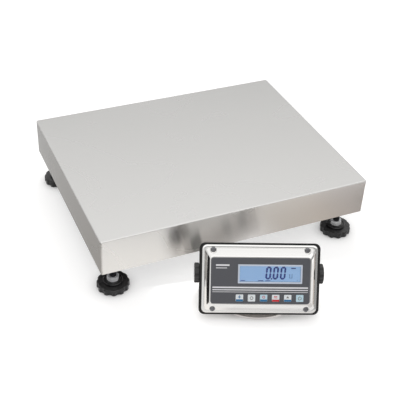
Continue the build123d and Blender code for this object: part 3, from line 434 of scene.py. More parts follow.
# frame, carrier and cell under the plate
underside = {
    "carrier_spine_painted": (["carrier_spine"], "framePaint"),
    "carrier_arms_painted": (["carrier_arms"], "framePaint"),
    "arm_plugs": (["carrier_arm_caps"], "nylon"),
    "bumper_buttons": (["plate_bumpers"], "rubber"),
    "upper_shim": (["upper_spacer"], "zincPlate"),
    "lower_shim": (["lower_spacer"], "zincPlate"),
    "countersunk_screws": (["free_end_bolts"], "zincPlate"),
    "cap_screws": (["fixed_end_bolts"], "zincPlate"),
    "cell_covers": (["gauge_covers"], "whiteCover"),
    "beam_painted": (["cross_beam"], "framePaint"),
    "rails_painted": (["side_rails"], "framePaint"),
    "rail_plugs": (["side_rail_caps"], "nylon"),
    "bushes": (["foot_bushes"], "zincPlate"),
    "stop_screws": (["overload_stops"], "zincPlate"),
    "beam_gland": (["cell_cable_gland"], "nylon"),
    "level_case": (["spirit_level_case"], "nylon"),
    "level_vial": (["spirit_level_vial"], "vial"),
}
dressAll(underside)

# the load cell really bends, so its free end goes down with the carrier; its ends are in metres
cellBend = {"start": (-0.032, 0.0848, 0.099), "end": (0.032, 0.0848, 0.099)}
cellBlock = addPiece("cell_block", cadMesh("cell_block", ["load_cell"]), "cellAluminium", None, ["load_cell"])
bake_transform(cellBlock, "base_frame", "load_carrier", start=cellBend["start"], end=cellBend["end"])
print("frame and carrier done")


# thread wound by Geometry Nodes round a core, closed and placed in the tree
def makeThreadTree():
    tree, given, out = newGroup(
        "woundThread", "GeometryNodeTree",
        [("Radius", "NodeSocketFloat", 0.006), ("Length", "NodeSocketFloat", 0.05),
         ("Pitch", "NodeSocketFloat", 0.00175), ("Depth", "NodeSocketFloat", 0.0006),
         ("Place", "NodeSocketVector", None), ("Finish", "NodeSocketMaterial", None)],
        [("Geometry", "NodeSocketGeometry")],
    )
    turns = compute(tree, "DIVIDE", given["Length"], given["Pitch"])
    coreRadius = compute(tree, "SUBTRACT", given["Radius"], given["Depth"])
    middle = wire(tree, "ShaderNodeCombineXYZ", {"Z": compute(tree, "MULTIPLY", given["Length"], 0.5)})
    helix = wire(tree, "GeometryNodeCurveSpiral", {
        "Resolution": 20, "Rotations": turns, "Start Radius": coreRadius, "End Radius": coreRadius,
        "Height": given["Length"]})
    ridge = wire(tree, "GeometryNodeCurvePrimitiveCircle", {"Resolution": 4, "Radius": given["Depth"]})
    wound = wire(tree, "GeometryNodeCurveToMesh", {
        "Curve": helix.outputs["Curve"], "Profile Curve": ridge.outputs["Curve"], "Fill Caps": True})
    core = wire(tree, "GeometryNodeMeshCylinder", {
        "Vertices": 32, "Radius": coreRadius, "Depth": given["Length"]})
    raised = wire(tree, "GeometryNodeTransform", {
        "Geometry": core.outputs["Mesh"], "Translation": middle.outputs[0]})
    joined = wire(tree, "GeometryNodeJoinGeometry", {"Geometry": wound.outputs["Mesh"]})
    tree.links.new(raised.outputs["Geometry"], joined.inputs["Geometry"])
    placed = wire(tree, "GeometryNodeTransform", {
        "Geometry": joined.outputs["Geometry"], "Translation": given["Place"]})
    real = wire(tree, "GeometryNodeRealizeInstances", {"Geometry": placed.outputs["Geometry"]})
    coated = wire(tree, "GeometryNodeSetMaterial", {
        "Geometry": real.outputs["Geometry"], "Material": given["Finish"]})
    tree.links.new(coated.outputs["Geometry"], out["Geometry"])
    return tree


# runs a node tree with the values on an empty mesh and keeps its result as a plain mesh
def grow(name, tree, values):
    holder = bpy.data.objects.new(name + "_holder", bpy.data.meshes.new(name + "_holder"))
    scene.collection.objects.link(holder)
    modifier = holder.modifiers.new("growth", "NODES")
    modifier.node_group = tree
    for item in tree.interface.items_tree:
        if item.in_out == "INPUT" and item.name in values:
            modifier[item.identifier] = values[item.name]
    graph = bpy.context.evaluated_depsgraph_get()
    mesh = bpy.data.meshes.new_from_object(holder.evaluated_get(graph))
    holder.modifiers.clear()
    bpy.data.objects.remove(holder)
    return mesh


threadTree = makeThreadTree()
feet = {"threadRadius": 6.0, "pitch": 1.75, "depth": 0.62, "threadSmoothing": 30.0, "wheelSmoothing": 32.0,
        "nutTop": 26.0, "nutSmoothing": 25.0}
for corner in corners:
    low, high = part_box("foot_spindle_" + corner)
    middle = (low + high) / 2
    dress("sole_pad_" + corner, ["foot_sole_" + corner], "rubber")
    dress("lobed_wheel_" + corner, ["star_wheel_" + corner], "nylon", feet["wheelSmoothing"])
    spindleMesh = grow("threaded_spindle_" + corner, threadTree, {
        "Radius": feet["threadRadius"] * mm, "Length": high.z - low.z, "Pitch": feet["pitch"] * mm,
        "Depth": feet["depth"] * mm, "Place": (middle.x, middle.y, low.z), "Finish": materials["blackSteel"]})
    smoothMesh(spindleMesh, feet["threadSmoothing"])
    wheelBody = "wheel_" + corner
    addPiece("threaded_spindle_" + corner, spindleMesh, "blackSteel", wheelBody, ["foot_spindle_" + corner])
    nutMesh = cadMesh("hub_nut_" + corner, ["foot_spindle_" + corner], feet["nutSmoothing"],
                      keep=lambda island: max(v.co.z for v in island) < feet["nutTop"] * mm)
    addPiece("hub_nut_" + corner, nutMesh, "nutPlate", wheelBody, ["foot_spindle_" + corner])
print("feet done")

# display head, in its own frame: right, up and out of its face
display = {"pivot": (-7.1, -205.8765, 62.1), "yaw": -21.7, "tilt": 30.2, "pivotUp": 6.5, "pivotOut": -18.0}
headPlace = (
    Matrix.Translation(Vector(display["pivot"]) * mm)
    @ Matrix.Rotation(math.radians(display["yaw"]), 4, "Z")
    @ Matrix.Rotation(math.radians(90 - display["tilt"]), 4, "X")
    @ Matrix.Translation(Vector((0, -display["pivotUp"], -display["pivotOut"])) * mm)
)
dressAll({
    "film_panel": (["membrane_panel"], "panelFilm"),
    "window_frame": (["window_bezel"], "bezelPlastic"),
    "display_holder": (["lcd_module"], "nylon"),
    "key_circuit": (["keypad_board"], "boardGreen"),
    "back_tub": (["rear_housing"], "tubSteel"),
    "side_bosses": (["pivot_bosses"], "zincPlate"),
    "pocket_screws": (["cover_screws"], "screwSteel"),
    "main_circuit": (["main_board"], "boardGreen"),
    "circuit_posts": (["board_posts"], "brass"),
    "cell_pack": (["battery_pack"], "sleeve"),
    "pack_strap": (["battery_strap"], "zincPlate"),
    "back_glands": (["head_cable_glands"], "nylon"),
    "vent_plug": (["breather_plug"], "nylon"),
})


# flat shapes on the face: each is an outline in face coordinates, raised from low to high
def addPrism(bm, outline, low, high):
    area = sum(a[0] * b[1] - b[0] * a[1] for a, b in zip(outline, outline[1:] + outline[:1]))
    if area < 0:
        outline = outline[::-1]
    base = [bm.verts.new(headPlace @ (Vector((u, v, low)) * mm)) for u, v in outline]
    top = [bm.verts.new(headPlace @ (Vector((u, v, high)) * mm)) for u, v in outline]
    bm.faces.new(base[::-1])
    bm.faces.new(top)
    for index, vert in enumerate(base):
        after = (index + 1) % len(base)
        bm.faces.new((vert, base[after], top[after], top[index]))


def prismMesh(name, prisms):
    bm = bmesh.new()
    for outline, low, high in prisms:
        addPrism(bm, outline, low, high)
    return meshFrom(name, bm)


def printPiece(name, outlines, low, high, material, body="head", stands=()):
    addPiece(name, prismMesh(name, [(outline, low, high) for outline in outlines]), material, body, stands)


def boxOutline(u, v, width, height):
    return [(u - width / 2, v - height / 2), (u + width / 2, v - height / 2),
            (u + width / 2, v + height / 2), (u - width / 2, v + height / 2)]


def roundOutline(u, v, width, height, corner, steps=6):
    points = []
    for quarter, (sideU, sideV) in enumerate(((1, 1), (-1, 1), (-1, -1), (1, -1))):
        for step in range(steps + 1):
            angle = math.radians(90 * quarter + 90 * step / steps)
            points.append((u + sideU * (width / 2 - corner) + corner * math.cos(angle),
                           v + sideV * (height / 2 - corner) + corner * math.sin(angle)))
    return points


# ring cut into quads, from one angle to another
def ringOutlines(u, v, radius, width, start=0.0, end=360.0, steps=24):
    outlines = []
    for step in range(steps):
        first = math.radians(start + (end - start) * step / steps)
        last = math.radians(start + (end - start) * (step + 1) / steps)
        spots = ((radius, first), (radius + width, first), (radius + width, last), (radius, last))
        outlines.append([(u + r * math.cos(a), v + r * math.sin(a)) for r, a in spots])
    return outlines


def circleOutline(u, v, radius, steps=48):
    return [(u + radius * math.cos(math.tau * s / steps), v + radius * math.sin(math.tau * s / steps))
            for s in range(steps)]


window = {"u": 15.6, "v": 11.1, "width": 99.2, "height": 25.5, "faceBack": 10.82, "faceFront": 11.0,
          "lensBack": 11.5, "lensFront": 12.8, "inkRise": 0.1, "corner": 0.6}

# drawn cover: rounded rectangles joined ring by ring, with wider bends than the solid has
# ends turns the border at the sides into the border at top and bottom; front and inside are bent paths
cover = {
    "width": 195.0, "height": 118.0, "corner": 9.0, "stepCorner": 7.0, "topCorner": 6.0, "leastCorner": 1.0,
    "cornerSteps": 8, "bendSteps": 6, "guard": 0.25, "smoothing": 32.0, "top": 12.0, "overcut": 1.0,
    "ends": [(0.0, 0.0), (2.6, 2.4), (6.0, 6.4), (15.0, 19.5), (30.0, 34.5)],
    "front": [(2.6, -1.2, 0.0), (2.6, -0.7, 0.3), (4.4, 0.0, 0.9), (6.7, 0.0, 0.5), (6.8, 3.0, 0.5),
              (10.2, 8.3, 1.2), (15.0, 12.0, 0.9), (18.0, 12.0, 0.0)],
    "inside": [(18.0, 10.8, 0.0), (15.5, 10.8, 0.0), (11.6, 7.1, 0.0), (8.0, 1.8, 0.0), (7.9, -1.2, 0.0)],
    "opening": {"clearance": 0.8, "from": 8.0, "to": 14.0},
}
pockets = {"u": 77.0, "v": 49.0, "radius": 5.6, "floor": 3.0, "cupRadius": 6.8, "cupBase": 1.8, "bore": 2.3,
           "boreSteps": 24, "boreOver": 0.5, "lip": 0.55, "lipSteps": 3, "rimAngle": 35.0, "wallMiss": 0.03,
           "wallFrom": 0.2}


# path with bends: each point is (border, level, how far the bend reaches)
def bentPath(points):
    path = []
    for index, (border, level, reachOut) in enumerate(points):
        here = Vector((border, level))
        if reachOut == 0:
            path.append(here)
            continue
        before = (Vector(points[index - 1][:2]) - here).normalized()
        after = (Vector(points[index + 1][:2]) - here).normalized()
        start, end = here + before * reachOut, here + after * reachOut
        path.append(start + before * cover["guard"])
        for step in range(cover["bendSteps"] + 1):
            t = step / cover["bendSteps"]
            path.append(start * (1 - t) ** 2 + here * 2 * t * (1 - t) + end * t ** 2)
        path.append(end + after * cover["guard"])
    return path


def coverRing(border, level):
    for (low, lowEnd), (high, highEnd) in zip(cover["ends"], cover["ends"][1:]):
        if low <= border <= high:
            end = lowEnd + (border - low) / (high - low) * (highEnd - lowEnd)
    atStep, atTop = cover["ends"][2][0], cover["ends"][3][0]
    flangeCorner, stepCorner, topCorner = cover["corner"], cover["stepCorner"], cover["topCorner"]
    if border < atStep:
        corner = flangeCorner + (stepCorner - flangeCorner) * border / atStep
    elif border < atTop:
        corner = stepCorner + (topCorner - stepCorner) * (border - atStep) / (atTop - atStep)
    else:
        corner = max(topCorner - (border - atTop), cover["leastCorner"])
    outline = roundOutline(0, 0, cover["width"] - 2 * border, cover["height"] - 2 * end, corner,
                           cover["cornerSteps"])
    return [(u, v, level) for u, v in outline]


# closed skin over the rings, or a closed frame that joins the last ring to the first
def loftMesh(name, rings, frame=False):
    bm = bmesh.new()
    made = [[bm.verts.new(headPlace @ (Vector(point) * mm)) for point in ring] for ring in rings]
    for lower, higher in zip(made, made[1:] + made[:1] if frame else made[1:]):
        for index in range(len(lower)):
            after = (index + 1) % len(lower)
            bm.faces.new((lower[index], lower[after], higher[after], higher[index]))
    if not frame:
        bm.faces.new(made[0][::-1])
        bm.faces.new(made[-1])
    bmesh.ops.recalc_face_normals(bm, faces=bm.faces)
    return meshFrom(name, bm)


def combine(base, other, operation):
    holders = []
    for mesh in (base, other):
        holder = bpy.data.objects.new(mesh.name, mesh)
        scene.collection.objects.link(holder)
        holders.append(holder)
    modifier = holders[0].modifiers.new("cut", "BOOLEAN")
    modifier.operation = operation
    modifier.solver = "EXACT"
    modifier.object = holders[1]
    result = bpy.data.meshes.new_from_object(holders[0].evaluated_get(bpy.context.evaluated_depsgraph_get()))
    for holder in holders:
        bpy.data.objects.remove(holder)
    return result


def onPocketWall(point):
    reach = math.hypot(abs(point.x) - pockets["u"], abs(point.y) - pockets["v"])
    return (abs(reach - pockets["radius"]) < pockets["wallMiss"]
            and point.z > pockets["floor"] + pockets["wallFrom"])


# rounds the rims of the screw pockets
def softenPockets(mesh):
    toFace = headPlace.inverted()
    sharp = math.radians(pockets["rimAngle"])
    bm = bmesh.new()
    bm.from_mesh(mesh)
    bmesh.ops.remove_doubles(bm, verts=bm.verts, dist=weldDistance)
    rims = []
    for edge in bm.edges:
        onWall = all(onPocketWall(toFace @ vert.co / mm) for vert in edge.verts)
        if onWall and len(edge.link_faces) == 2 and edge.calc_face_angle() > sharp:
            rims.append(edge)
    bmesh.ops.bevel(bm, geom=rims, offset=pockets["lip"] * mm, segments=pockets["lipSteps"], profile=0.5,
                    affect="EDGES", clamp_overlap=True)
    bm.to_mesh(mesh)
    bm.free()
    print("pocket rims rounded,", len(rims), "edges")


frontPath = bentPath(cover["front"])
shellPath = [Vector(point[:2]) for point in cover["inside"]] + frontPath
shell = loftMesh("cover_shell", [coverRing(*point) for point in shellPath])
block = loftMesh("cover_block", [coverRing(*point) for point in frontPath])
pocketSpots = [(su * pockets["u"], sv * pockets["v"]) for su in (-1, 1) for sv in (-1, 1)]
cups = prismMesh("cups", [(circleOutline(u, v, pockets["cupRadius"]), pockets["cupBase"], cover["top"])
                          for u, v in pocketSpots])
hollows = [(circleOutline(u, v, pockets["radius"]), pockets["floor"], cover["top"] + cover["overcut"])
           for u, v in pocketSpots]
bores = [(circleOutline(u, v, pockets["bore"], pockets["boreSteps"]), pockets["cupBase"] - cover["overcut"],
          pockets["floor"] + pockets["boreOver"]) for u, v in pocketSpots]
opening = cover["opening"]
openings = [(boxOutline(window["u"], window["v"], window["width"] + opening["clearance"],
                        window["height"] + opening["clearance"]), opening["from"], opening["to"])]
coverMesh = combine(shell, combine(cups, block, "INTERSECT"), "UNION")
for cutter in (hollows, bores, openings):
    coverMesh = combine(coverMesh, prismMesh("cutter", cutter), "DIFFERENCE")
softenPockets(coverMesh)
smoothMesh(coverMesh, cover["smoothing"])
addPiece("drawn_cover", coverMesh, "polishedSteel", "head", ["front_cover"])

# rubber seal behind the cover, pressed out to a low bead
# each ring is (out at the sides, out at top and bottom, level)
seal = {"rings": [(1.2, 0.2, -4.2), (1.7, 0.6, -3.6), (1.9, 0.7, -2.7), (1.7, 0.6, -1.8), (1.2, 0.2, -1.2),
                  (-7.0, -7.0, -1.2), (-7.0, -7.0, -4.2)], "corner": 9.5, "smoothing": 40.0}
sealRings = []
for side, end, level in seal["rings"]:
    outline = roundOutline(0, 0, cover["width"] + 2 * side, cover["height"] + 2 * end,
                           seal["corner"] + min(end, 0.0) / 2, cover["cornerSteps"])
    sealRings.append([(u, v, level) for u, v in outline])
sealMesh = loftMesh("cover_seal", sealRings, frame=True)
smoothMesh(sealMesh, seal["smoothing"])
addPiece("cover_seal", sealMesh, "rubber", "head", ["cover_gasket"])

printPiece("display_face", [boxOutline(window["u"], window["v"], window["width"], window["height"])],
           window["faceBack"], window["faceFront"], "displayGlow")
printPiece("window_pane",
           [roundOutline(window["u"], window["v"], window["width"], window["height"], window["corner"])],
           window["lensBack"], window["lensFront"], "window", stands=["window_lens"])

# seven-segment figures, with hexagonal bars that leave hairline gaps between them
figures = {"text": "0.00", "left": 8.3, "pitch": 11.85, "width": 9.2, "height": 21.3, "stroke": 3.0,
           "lean": 5.0, "base": 3.6, "gap": 0.05, "dot": 2.3, "dotShift": 0.9}
segmentsOf = {"0": "abcdef", "1": "bc", "2": "abged", "3": "abgcd", "4": "fgbc", "5": "afgcd", "6": "afgedc",
              "7": "abc", "8": "abcdefg", "9": "abcdfg"}


def leaned(points, centreV, lean):
    slope = math.tan(math.radians(lean))
    return [(u + (v - centreV) * slope, v) for u, v in points]


def segmentBar(startU, startV, endU, endV, stroke, gap):
    direction = Vector((endU - startU, endV - startV)).normalized()
    side = Vector((-direction.y, direction.x)) * stroke / 2
    start = Vector((startU, startV)) + direction * gap
    end = Vector((endU, endV)) - direction * gap
    tip = direction * stroke / 2
    points = [start, start + tip + side, end - tip + side, end, end - tip - side, start + tip - side]
    return [(p.x, p.y) for p in points]


def figureOutlines(figure, left, bottom):
    stroke = figures["stroke"]
    lowU, highU = left + stroke / 2, left + figures["width"] - stroke / 2
    lowV, highV = bottom + stroke / 2, bottom + figures["height"] - stroke / 2
    midV = (lowV + highV) / 2
    ends = {"a": (lowU, highV, highU, highV), "b": (highU, midV, highU, highV),
            "c": (highU, lowV, highU, midV), "d": (lowU, lowV, highU, lowV), "e": (lowU, lowV, lowU, midV),
            "f": (lowU, midV, lowU, highV), "g": (lowU, midV, highU, midV)}
    bars = [segmentBar(*ends[name], stroke, figures["gap"]) for name in segmentsOf[figure]]
    return [leaned(bar, midV, figures["lean"]) for bar in bars]


inkBack = window["faceFront"]
inkFront = inkBack + window["inkRise"]
figureBottom = window["v"] - window["height"] / 2 + figures["base"]
outlines = []
position = figures["left"]
for sign in figures["text"]:
    if sign == ".":
        dotU = position - (figures["pitch"] - figures["width"]) / 2 - figures["dotShift"]
        outlines.append(boxOutline(dotU, figureBottom + figures["dot"] / 2, figures["dot"], figures["dot"]))
    else:
        outlines += figureOutlines(sign, position, figureBottom)
        position += figures["pitch"]
printPiece("display_figures", outlines, inkBack, inkFront, "displayInk")

# small plain bars and dots round the figures
smallSigns = {
    "dark": [(-28.8, -0.1, 7.6, 1.3), (0.4, -0.2, 8.6, 1.3), (12.2, -0.2, 8.4, 1.1), (53.4, 20.6, 7.6, 1.8)],
    "faint": [(47.4, 7.6, 1.5, 7.4), (51.4, 7.6, 1.5, 7.4), (49.6, 4.6, 3.4, 1.2), (60.4, 1.0, 1.4, 1.2)],
}
signPrints = {"display_signs": ("dark", "displayInk"), "display_faint_signs": ("faint", "faintInk")}
for name, (tone, material) in signPrints.items():
    printPiece(name, [boxOutline(*sign) for sign in smallSigns[tone]], inkBack, inkFront, material)

# plain rules printed on the film
panelPrint = {"front": 13.0, "rise": 0.05,
              "rules": [(0.0, -11.4, 156.0, 2.4), (0.0, -15.4, 156.0, 1.5), (0.0, -18.8, 156.0, 0.8),
                        (-62.0, 25.2, 22.0, 2.6), (-64.0, 20.6, 18.0, 1.2)]}
printPiece("panel_rules", [boxOutline(*rule) for rule in panelPrint["rules"]], panelPrint["front"],
           panelPrint["front"] + panelPrint["rise"], "whiteInk")
print("display head done")

# keys: a film square each, with a coloured foot and a plain sign
keys = {"pitch": 19.72, "v": -28.7, "width": 11.6, "height": 11.1, "front": 13.3, "rise": 0.06, "band": 3.4}
keyLooks = [
    {"film": "keyFilm", "foot": "blueInk", "ink": "blueInk",
     "signs": [boxOutline(0, 1.7, 5.6, 1.2), boxOutline(0, 1.7, 1.2, 5.0)]},
    {"film": "keyFilm", "foot": None, "ink": "greyInk", "signs": ringOutlines(0, 0, 1.9, 0.9)},
    {"film": "lightKeyFilm", "foot": "blueInk", "ink": "redInk", "signs": ringOutlines(0, 1.7, 1.5, 0.8)},
    {"film": "keyFilm", "foot": "redInk", "ink": "redInk",
     "signs": [boxOutline(0, 2.9, 5.6, 1.1), boxOutline(0, 0.7, 5.6, 1.1)]},
    {"film": "keyFilm", "foot": "blueInk", "ink": "greyInk", "signs": [[(-2.4, 0.2), (2.4, 0.2), (0, 3.8)]]},
    {"film": "lightKeyFilm", "foot": None, "ink": "greyInk",
     "signs": ringOutlines(0, 0, 2.1, 0.9, 125.0, 415.0) + [boxOutline(0, 2.0, 0.9, 3.2)]},
]
firstKey = window["u"] - keys["pitch"] * (len(keyLooks) - 1) / 2
inkFrom, inkTo = keys["front"], keys["front"] + keys["rise"]
footV = keys["v"] - keys["height"] / 2 + keys["band"] / 2
for index, look in enumerate(keyLooks):
    label = "key_" + str(index + 1)
    body = "key_body_" + str(index + 1)
    keyU = firstKey + index * keys["pitch"]
    dress(label + "_cap", [label], look["film"])
    moved = [[(u + keyU, v + keys["v"]) for u, v in outline] for outline in look["signs"]]
    printPiece(label + "_sign", moved, inkFrom, inkTo, look["ink"], body)
    if look["foot"]:
        foot = boxOutline(keyU, footV, keys["width"], keys["band"])
        printPiece(label + "_foot", [foot], inkFrom, inkTo, look["foot"], body)
print("keys done")

# stand and clamps
dressAll({
    "bent_stand": (["display_stand"], "satinSteel", 25.0),
    "stand_feet": (["stand_pads"], "rubber"),
    "clamp_washers": (["friction_washers"], "whiteCover"),
    "fluted_knob_left": (["clamp_knob_left"], "nylon"),
    "fluted_knob_right": (["clamp_knob_right"], "nylon"),
})
print("stand and clamps done")

# studio: white floor with a painted contact shadow, dark and bright cards that only the steel sees, which
# paint reflections into it, soft lamps
studio = {"floorSize": 40.0, "floorDrop": 0.0002, "floorColor": (205, 204, 203), "floorRoughness": 0.9,
          "floorSpecular": 0.1, "cloudScale": 3.0, "cloudDark": 0.97, "paintedContactShadow": 0.022, "paintedContactShadowSamples": 8,
          "nearLift": 0.57, "farLift": 1.0, "fadeFrom": 0.75, "fadeTo": 2.2, "cardRise": 0.0004,
          "cardRoughness": 0.9}


def makeFloorMaterial():
    material, tree, shader = startMaterial("studioFloor")
    place = objectPlace(tree)
    cloud = remap(tree, noise(tree, place, studio["cloudScale"], 4.0), 0.0, 1.0, studio["cloudDark"], 1.0)
    color = mixColors(tree, 1.0, linear(studio["floorColor"]), cloud, "MULTIPLY")
    tree.links.new(color, shader.inputs["Base Color"])
    shader.inputs["Roughness"].default_value = studio["floorRoughness"]
    shader.inputs["Specular IOR Level"].default_value = studio["floorSpecular"]
    shader.inputs["Emission Color"].default_value = (1, 1, 1, 1)
    away = wire(tree, "ShaderNodeVectorMath", {0: place}, operation="LENGTH").outputs["Value"]
    lift = remap(tree, away, studio["fadeFrom"], studio["fadeTo"], studio["nearLift"], studio["farLift"])
    ray = wire(tree, "ShaderNodeLightPath").outputs
    glow = mixValues(tree, ray["Is Diffuse Ray"], lift, 0.0)
    # ambient occlusion dims the floor's glow close to the object: a painted contact shadow under and beside
    # it, which reflections see too
    paintedContactShadow = wire(tree, "ShaderNodeAmbientOcclusion", {"Distance": studio["paintedContactShadow"]},
                   samples=studio["paintedContactShadowSamples"])
    tree.links.new(compute(tree, "MULTIPLY", glow, paintedContactShadow.outputs["AO"]), shader.inputs["Emission Strength"])
    clear = wire(tree, "ShaderNodeBsdfTransparent")
    below = wire(tree, "ShaderNodeNewGeometry").outputs["Backfacing"]
    both = wire(tree, "ShaderNodeMixShader", {0: below, 1: shader.outputs["BSDF"], 2: clear.outputs["BSDF"]})
    tree.links.new(both.outputs["Shader"], tree.nodes["Material Output"].inputs["Surface"])
    return material


def sheetMesh(name, middle, width, depth, z, material):
    mesh = bpy.data.meshes.new(name)
    x, y = middle
    mesh.from_pydata([(x + sx * width / 2, y + sy * depth / 2, z)
                      for sx, sy in ((-1, -1), (1, -1), (1, 1), (-1, 1))], [], [(0, 1, 2, 3)])
    mesh.materials.append(material)
    return mesh


# places a card that only reflections see, so that its colour is a painted reflection
def hangCard(name, mesh):
    card = bpy.data.objects.new(name, mesh)
    scene.collection.objects.link(card)
    card.visible_camera = False
    card.visible_diffuse = False
    card.visible_shadow = False
    return card


# upright card whose colour and glow paint a reflection into the steel
def addCard(name, centre, size, aim, color, glow, lean):
    material, _, shader = startMaterial(name)
    shader.inputs["Base Color"].default_value = linear(color)
    shader.inputs["Roughness"].default_value = studio["cardRoughness"]
    shader.inputs["Emission Color"].default_value = linear(color)
    shader.inputs["Emission Strength"].default_value = glow
    width, height = size
    mesh = sheetMesh(name, (0.0, 0.0), width, height, 0.0, material)
    turn = (Vector(aim) - Vector(centre)).to_track_quat("Z", "Y").to_matrix().to_4x4()
    place = Matrix.Translation(Vector(centre)) @ turn
    for vert in mesh.vertices:
        x, y, _ = vert.co
        vert.co = place @ Vector((x + lean * y / height, y, 0))
    hangCard(name, mesh)


# sheet on the floor with its tones set along one axis; it glows and only reflections see it, so its tones are
# painted reflections
def addFloorCard(name, middle, size, axis, tones):
    material, tree, shader = startMaterial(name)
    tree.nodes.remove(shader)
    along = wire(tree, "ShaderNodeSeparateXYZ", {0: objectPlace(tree)})
    first, last = tones[0][0], tones[-1][0]
    ramp = wire(tree, "ShaderNodeValToRGB", {"Fac": remap(tree, along.outputs[axis], first, last)})
    stops = ramp.color_ramp.elements
    for index, (place, tone) in enumerate(tones):
        position = (place - first) / (last - first)
        stop = stops[0] if index == 0 else stops[-1] if index == len(tones) - 1 else stops.new(position)
        stop.position = position
        stop.color = (*tone, 1.0)
    glow = wire(tree, "ShaderNodeEmission", {"Color": ramp.outputs["Color"], "Strength": 1.0})
    tree.links.new(glow.outputs["Emission"], tree.nodes["Material Output"].inputs["Surface"])
    card = hangCard(name, sheetMesh(name, middle, *size, studio["cardRise"], material))
    card.visible_transmission = False


floor = bpy.data.objects.new("studio_floor", sheetMesh(
    "studio_floor", (0.0, 0.0), studio["floorSize"], studio["floorSize"], -studio["floorDrop"],
    makeFloorMaterial()))
scene.collection.objects.link(floor)

centre = (plateLow + plateHigh) / 2
# glowing floor sheets that only reflections see: their tones paint bright and dark reflection bands into the
# steel and hide the real floor, with its shade, from the steel
floorReflectionCards = {
    "strip_card": {"middle": (0.0, -0.19), "size": (2.0, 0.14), "axis": "X", "tones": [
        (-0.60, (1.08, 1.06, 1.03)), (-0.11, (1.24, 1.21, 1.17)), (-0.085, (1.1, 1.08, 1.06)),
        (-0.07, (0.9, 0.88, 0.88)), (-0.01, (0.9, 0.88, 0.88)), (0.01, (1.42, 1.39, 1.38)),
        (0.06, (1.3, 1.27, 1.26)), (0.075, (1.0, 0.97, 0.96)), (0.10, (0.8, 0.76, 0.73)),
        (0.13, (0.70, 0.65, 0.60)), (0.22, (0.66, 0.59, 0.53)), (0.30, (0.54, 0.49, 0.46)),
        (0.37, (0.35, 0.31, 0.29)), (0.60, (0.50, 0.47, 0.45))]},
    "right_card": {"middle": (0.56, -0.292), "size": (0.88, 0.064), "axis": "X", "tones": [
        (0.12, (0.72, 0.67, 0.62)), (0.22, (0.66, 0.59, 0.53)), (0.30, (0.54, 0.49, 0.46)),
        (0.60, (0.50, 0.47, 0.45))]},
    "front_card": {"middle": (0.0, -0.93), "size": (3.0, 1.2), "axis": "X", "tones": [
        (-0.60, (1.1, 1.08, 1.05)), (-0.15, (0.85, 0.83, 0.81)), (-0.10, (0.52, 0.50, 0.49)),
        (-0.07, (0.50, 0.48, 0.47)), (-0.04, (0.78, 0.75, 0.74)), (0.0, (0.70, 0.67, 0.66)),
        (0.03, (0.82, 0.79, 0.78)), (0.12, (0.80, 0.78, 0.77)), (0.30, (1.15, 1.13, 1.12)),
        (0.60, (1.15, 1.13, 1.12))]},
    "left_card": {"middle": (-0.76, 0.1), "size": (1.0, 1.4), "axis": "Y", "tones": [
        (-0.15, (0.38, 0.36, 0.34)), (0.40, (0.55, 0.545, 0.54))]},
}
# dark cards that paint dark reflection bands into the steel; skirt_flag's band falls on the plate's front
# skirt
uprightReflectionCards = {
    "left_screen": {"centre": (-0.45, -0.215, 0.14), "size": (0.17, 0.28), "aim": (0.0, -0.215, 0.14),
                    "color": (22, 22, 25), "glow": 0.0, "lean": 0.0},
    "skirt_flag": {"centre": (-0.0665, -0.15, 0.048), "size": (0.021, 0.06), "aim": (-0.0665, 0.0, 0.048),
                   "color": (60, 60, 58), "glow": 1.0, "lean": 0.013},
}
for name, card in floorReflectionCards.items():
    addFloorCard(name, **card)
for name, card in uprightReflectionCards.items():
    addCard(name, **card)

lamps = {
    "keyLamp": {"place": (-0.9, -1.3, 2.1), "aim": centre, "size": (1.8, 1.8), "power": 14.0},
    "fillLamp": {"place": (1.5, -0.6, 1.6), "aim": centre, "size": (1.6, 1.6), "power": 8.0},
    "backLamp": {"place": (0.2, 1.5, 2.2), "aim": centre, "size": (2.0, 2.0), "power": 28.0},
    "gapLamp": {"place": (0.0, -0.122, 0.035), "aim": (-0.02, -0.25, 0.075), "size": (0.3, 0.06),
                "power": 0.16},
}
for name, lamp in lamps.items():
    light = bpy.data.lights.new(name, "AREA")
    light.shape = "RECTANGLE"
    light.size, light.size_y = lamp["size"]
    light.energy = lamp["power"]
    holder = bpy.data.objects.new(name, light)
    holder.location = lamp["place"]
    holder.rotation_euler = (Vector(lamp["aim"]) - Vector(lamp["place"])).to_track_quat("-Z", "Y").to_euler()
    holder.visible_glossy = False
    holder.visible_camera = False
    scene.collection.objects.link(holder)

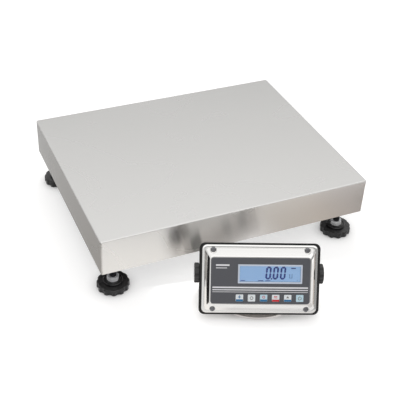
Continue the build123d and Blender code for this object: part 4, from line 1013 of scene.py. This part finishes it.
# the camera sees a white world, the steel sees a soft sky with a darker front and a bright crown
sky = {"frontFrom": -0.2, "frontTo": -0.65, "frontLean": 1.5, "frontLow": 0.17, "frontHigh": 0.28,
       "frontBright": 1.0, "frontDark": 0.42, "crownLow": 0.42, "crownHigh": 0.58, "crown": 1.5,
       "ambient": 0.5, "zenith": 1.25, "horizon": 0.6, "low": 0.3, "high": 0.8}
world = bpy.data.worlds.new("studioWorld")
scene.world = world
world.use_nodes = True
tree = world.node_tree
background = tree.nodes["Background"]
direction = wire(tree, "ShaderNodeSeparateXYZ", {0: wire(tree, "ShaderNodeTexCoord").outputs["Generated"]})
x, y, z = (direction.outputs[axis] for axis in "XYZ")
height = remap(tree, z, sky["low"], sky["high"], sky["horizon"], sky["zenith"])
ahead = remap(tree, y, sky["frontFrom"], sky["frontTo"])
leant = compute(tree, "MULTIPLY_ADD", z, sky["frontLean"], x)
frontTone = remap(tree, leant, sky["frontLow"], sky["frontHigh"], sky["frontBright"], sky["frontDark"])
crown = remap(tree, z, sky["crownLow"], sky["crownHigh"])
brightness = mixValues(tree, ahead, height, mixValues(tree, crown, frontTone, sky["crown"]))
ray = wire(tree, "ShaderNodeLightPath").outputs
direct = compute(tree, "MAXIMUM", ray["Is Camera Ray"], ray["Is Transmission Ray"])
glossy = mixValues(tree, ray["Is Glossy Ray"], sky["ambient"], brightness)
tree.links.new(mixValues(tree, direct, glossy, 1.0), background.inputs["Strength"])
background.inputs["Color"].default_value = (1, 1, 1, 1)
scene.view_settings.view_transform = "Standard"

# camera of the photograph, set from the middle of the plate's top
shot = {"azimuth": -24.95, "elevation": 36.418, "roll": 2.732, "lens": 76.84, "sensor": 36.0, "clipEnd": 50.0,
        "offset": (-0.551695, -1.217751, 0.869483)}
camera = bpy.data.objects.new("camera", bpy.data.cameras.new("camera"))
scene.collection.objects.link(camera)
azimuth, elevation, roll = (math.radians(shot[key]) for key in ("azimuth", "elevation", "roll"))
backward = Vector((math.sin(azimuth) * math.cos(elevation), -math.cos(azimuth) * math.cos(elevation),
                   math.sin(elevation)))
level = Vector((math.cos(azimuth), math.sin(azimuth), 0))
upright = backward.cross(level)
right = math.cos(roll) * level + math.sin(roll) * upright
up = -math.sin(roll) * level + math.cos(roll) * upright
spot = Vector((centre.x, centre.y, plateHigh.z)) + Vector(shot["offset"])
camera.matrix_world = Matrix.Translation(spot) @ Matrix((right, up, backward)).transposed().to_4x4()
camera.data.lens = shot["lens"]
camera.data.sensor_width = shot["sensor"]
camera.data.clip_end = shot["clipEnd"]
scene.camera = camera
print("studio and camera done")
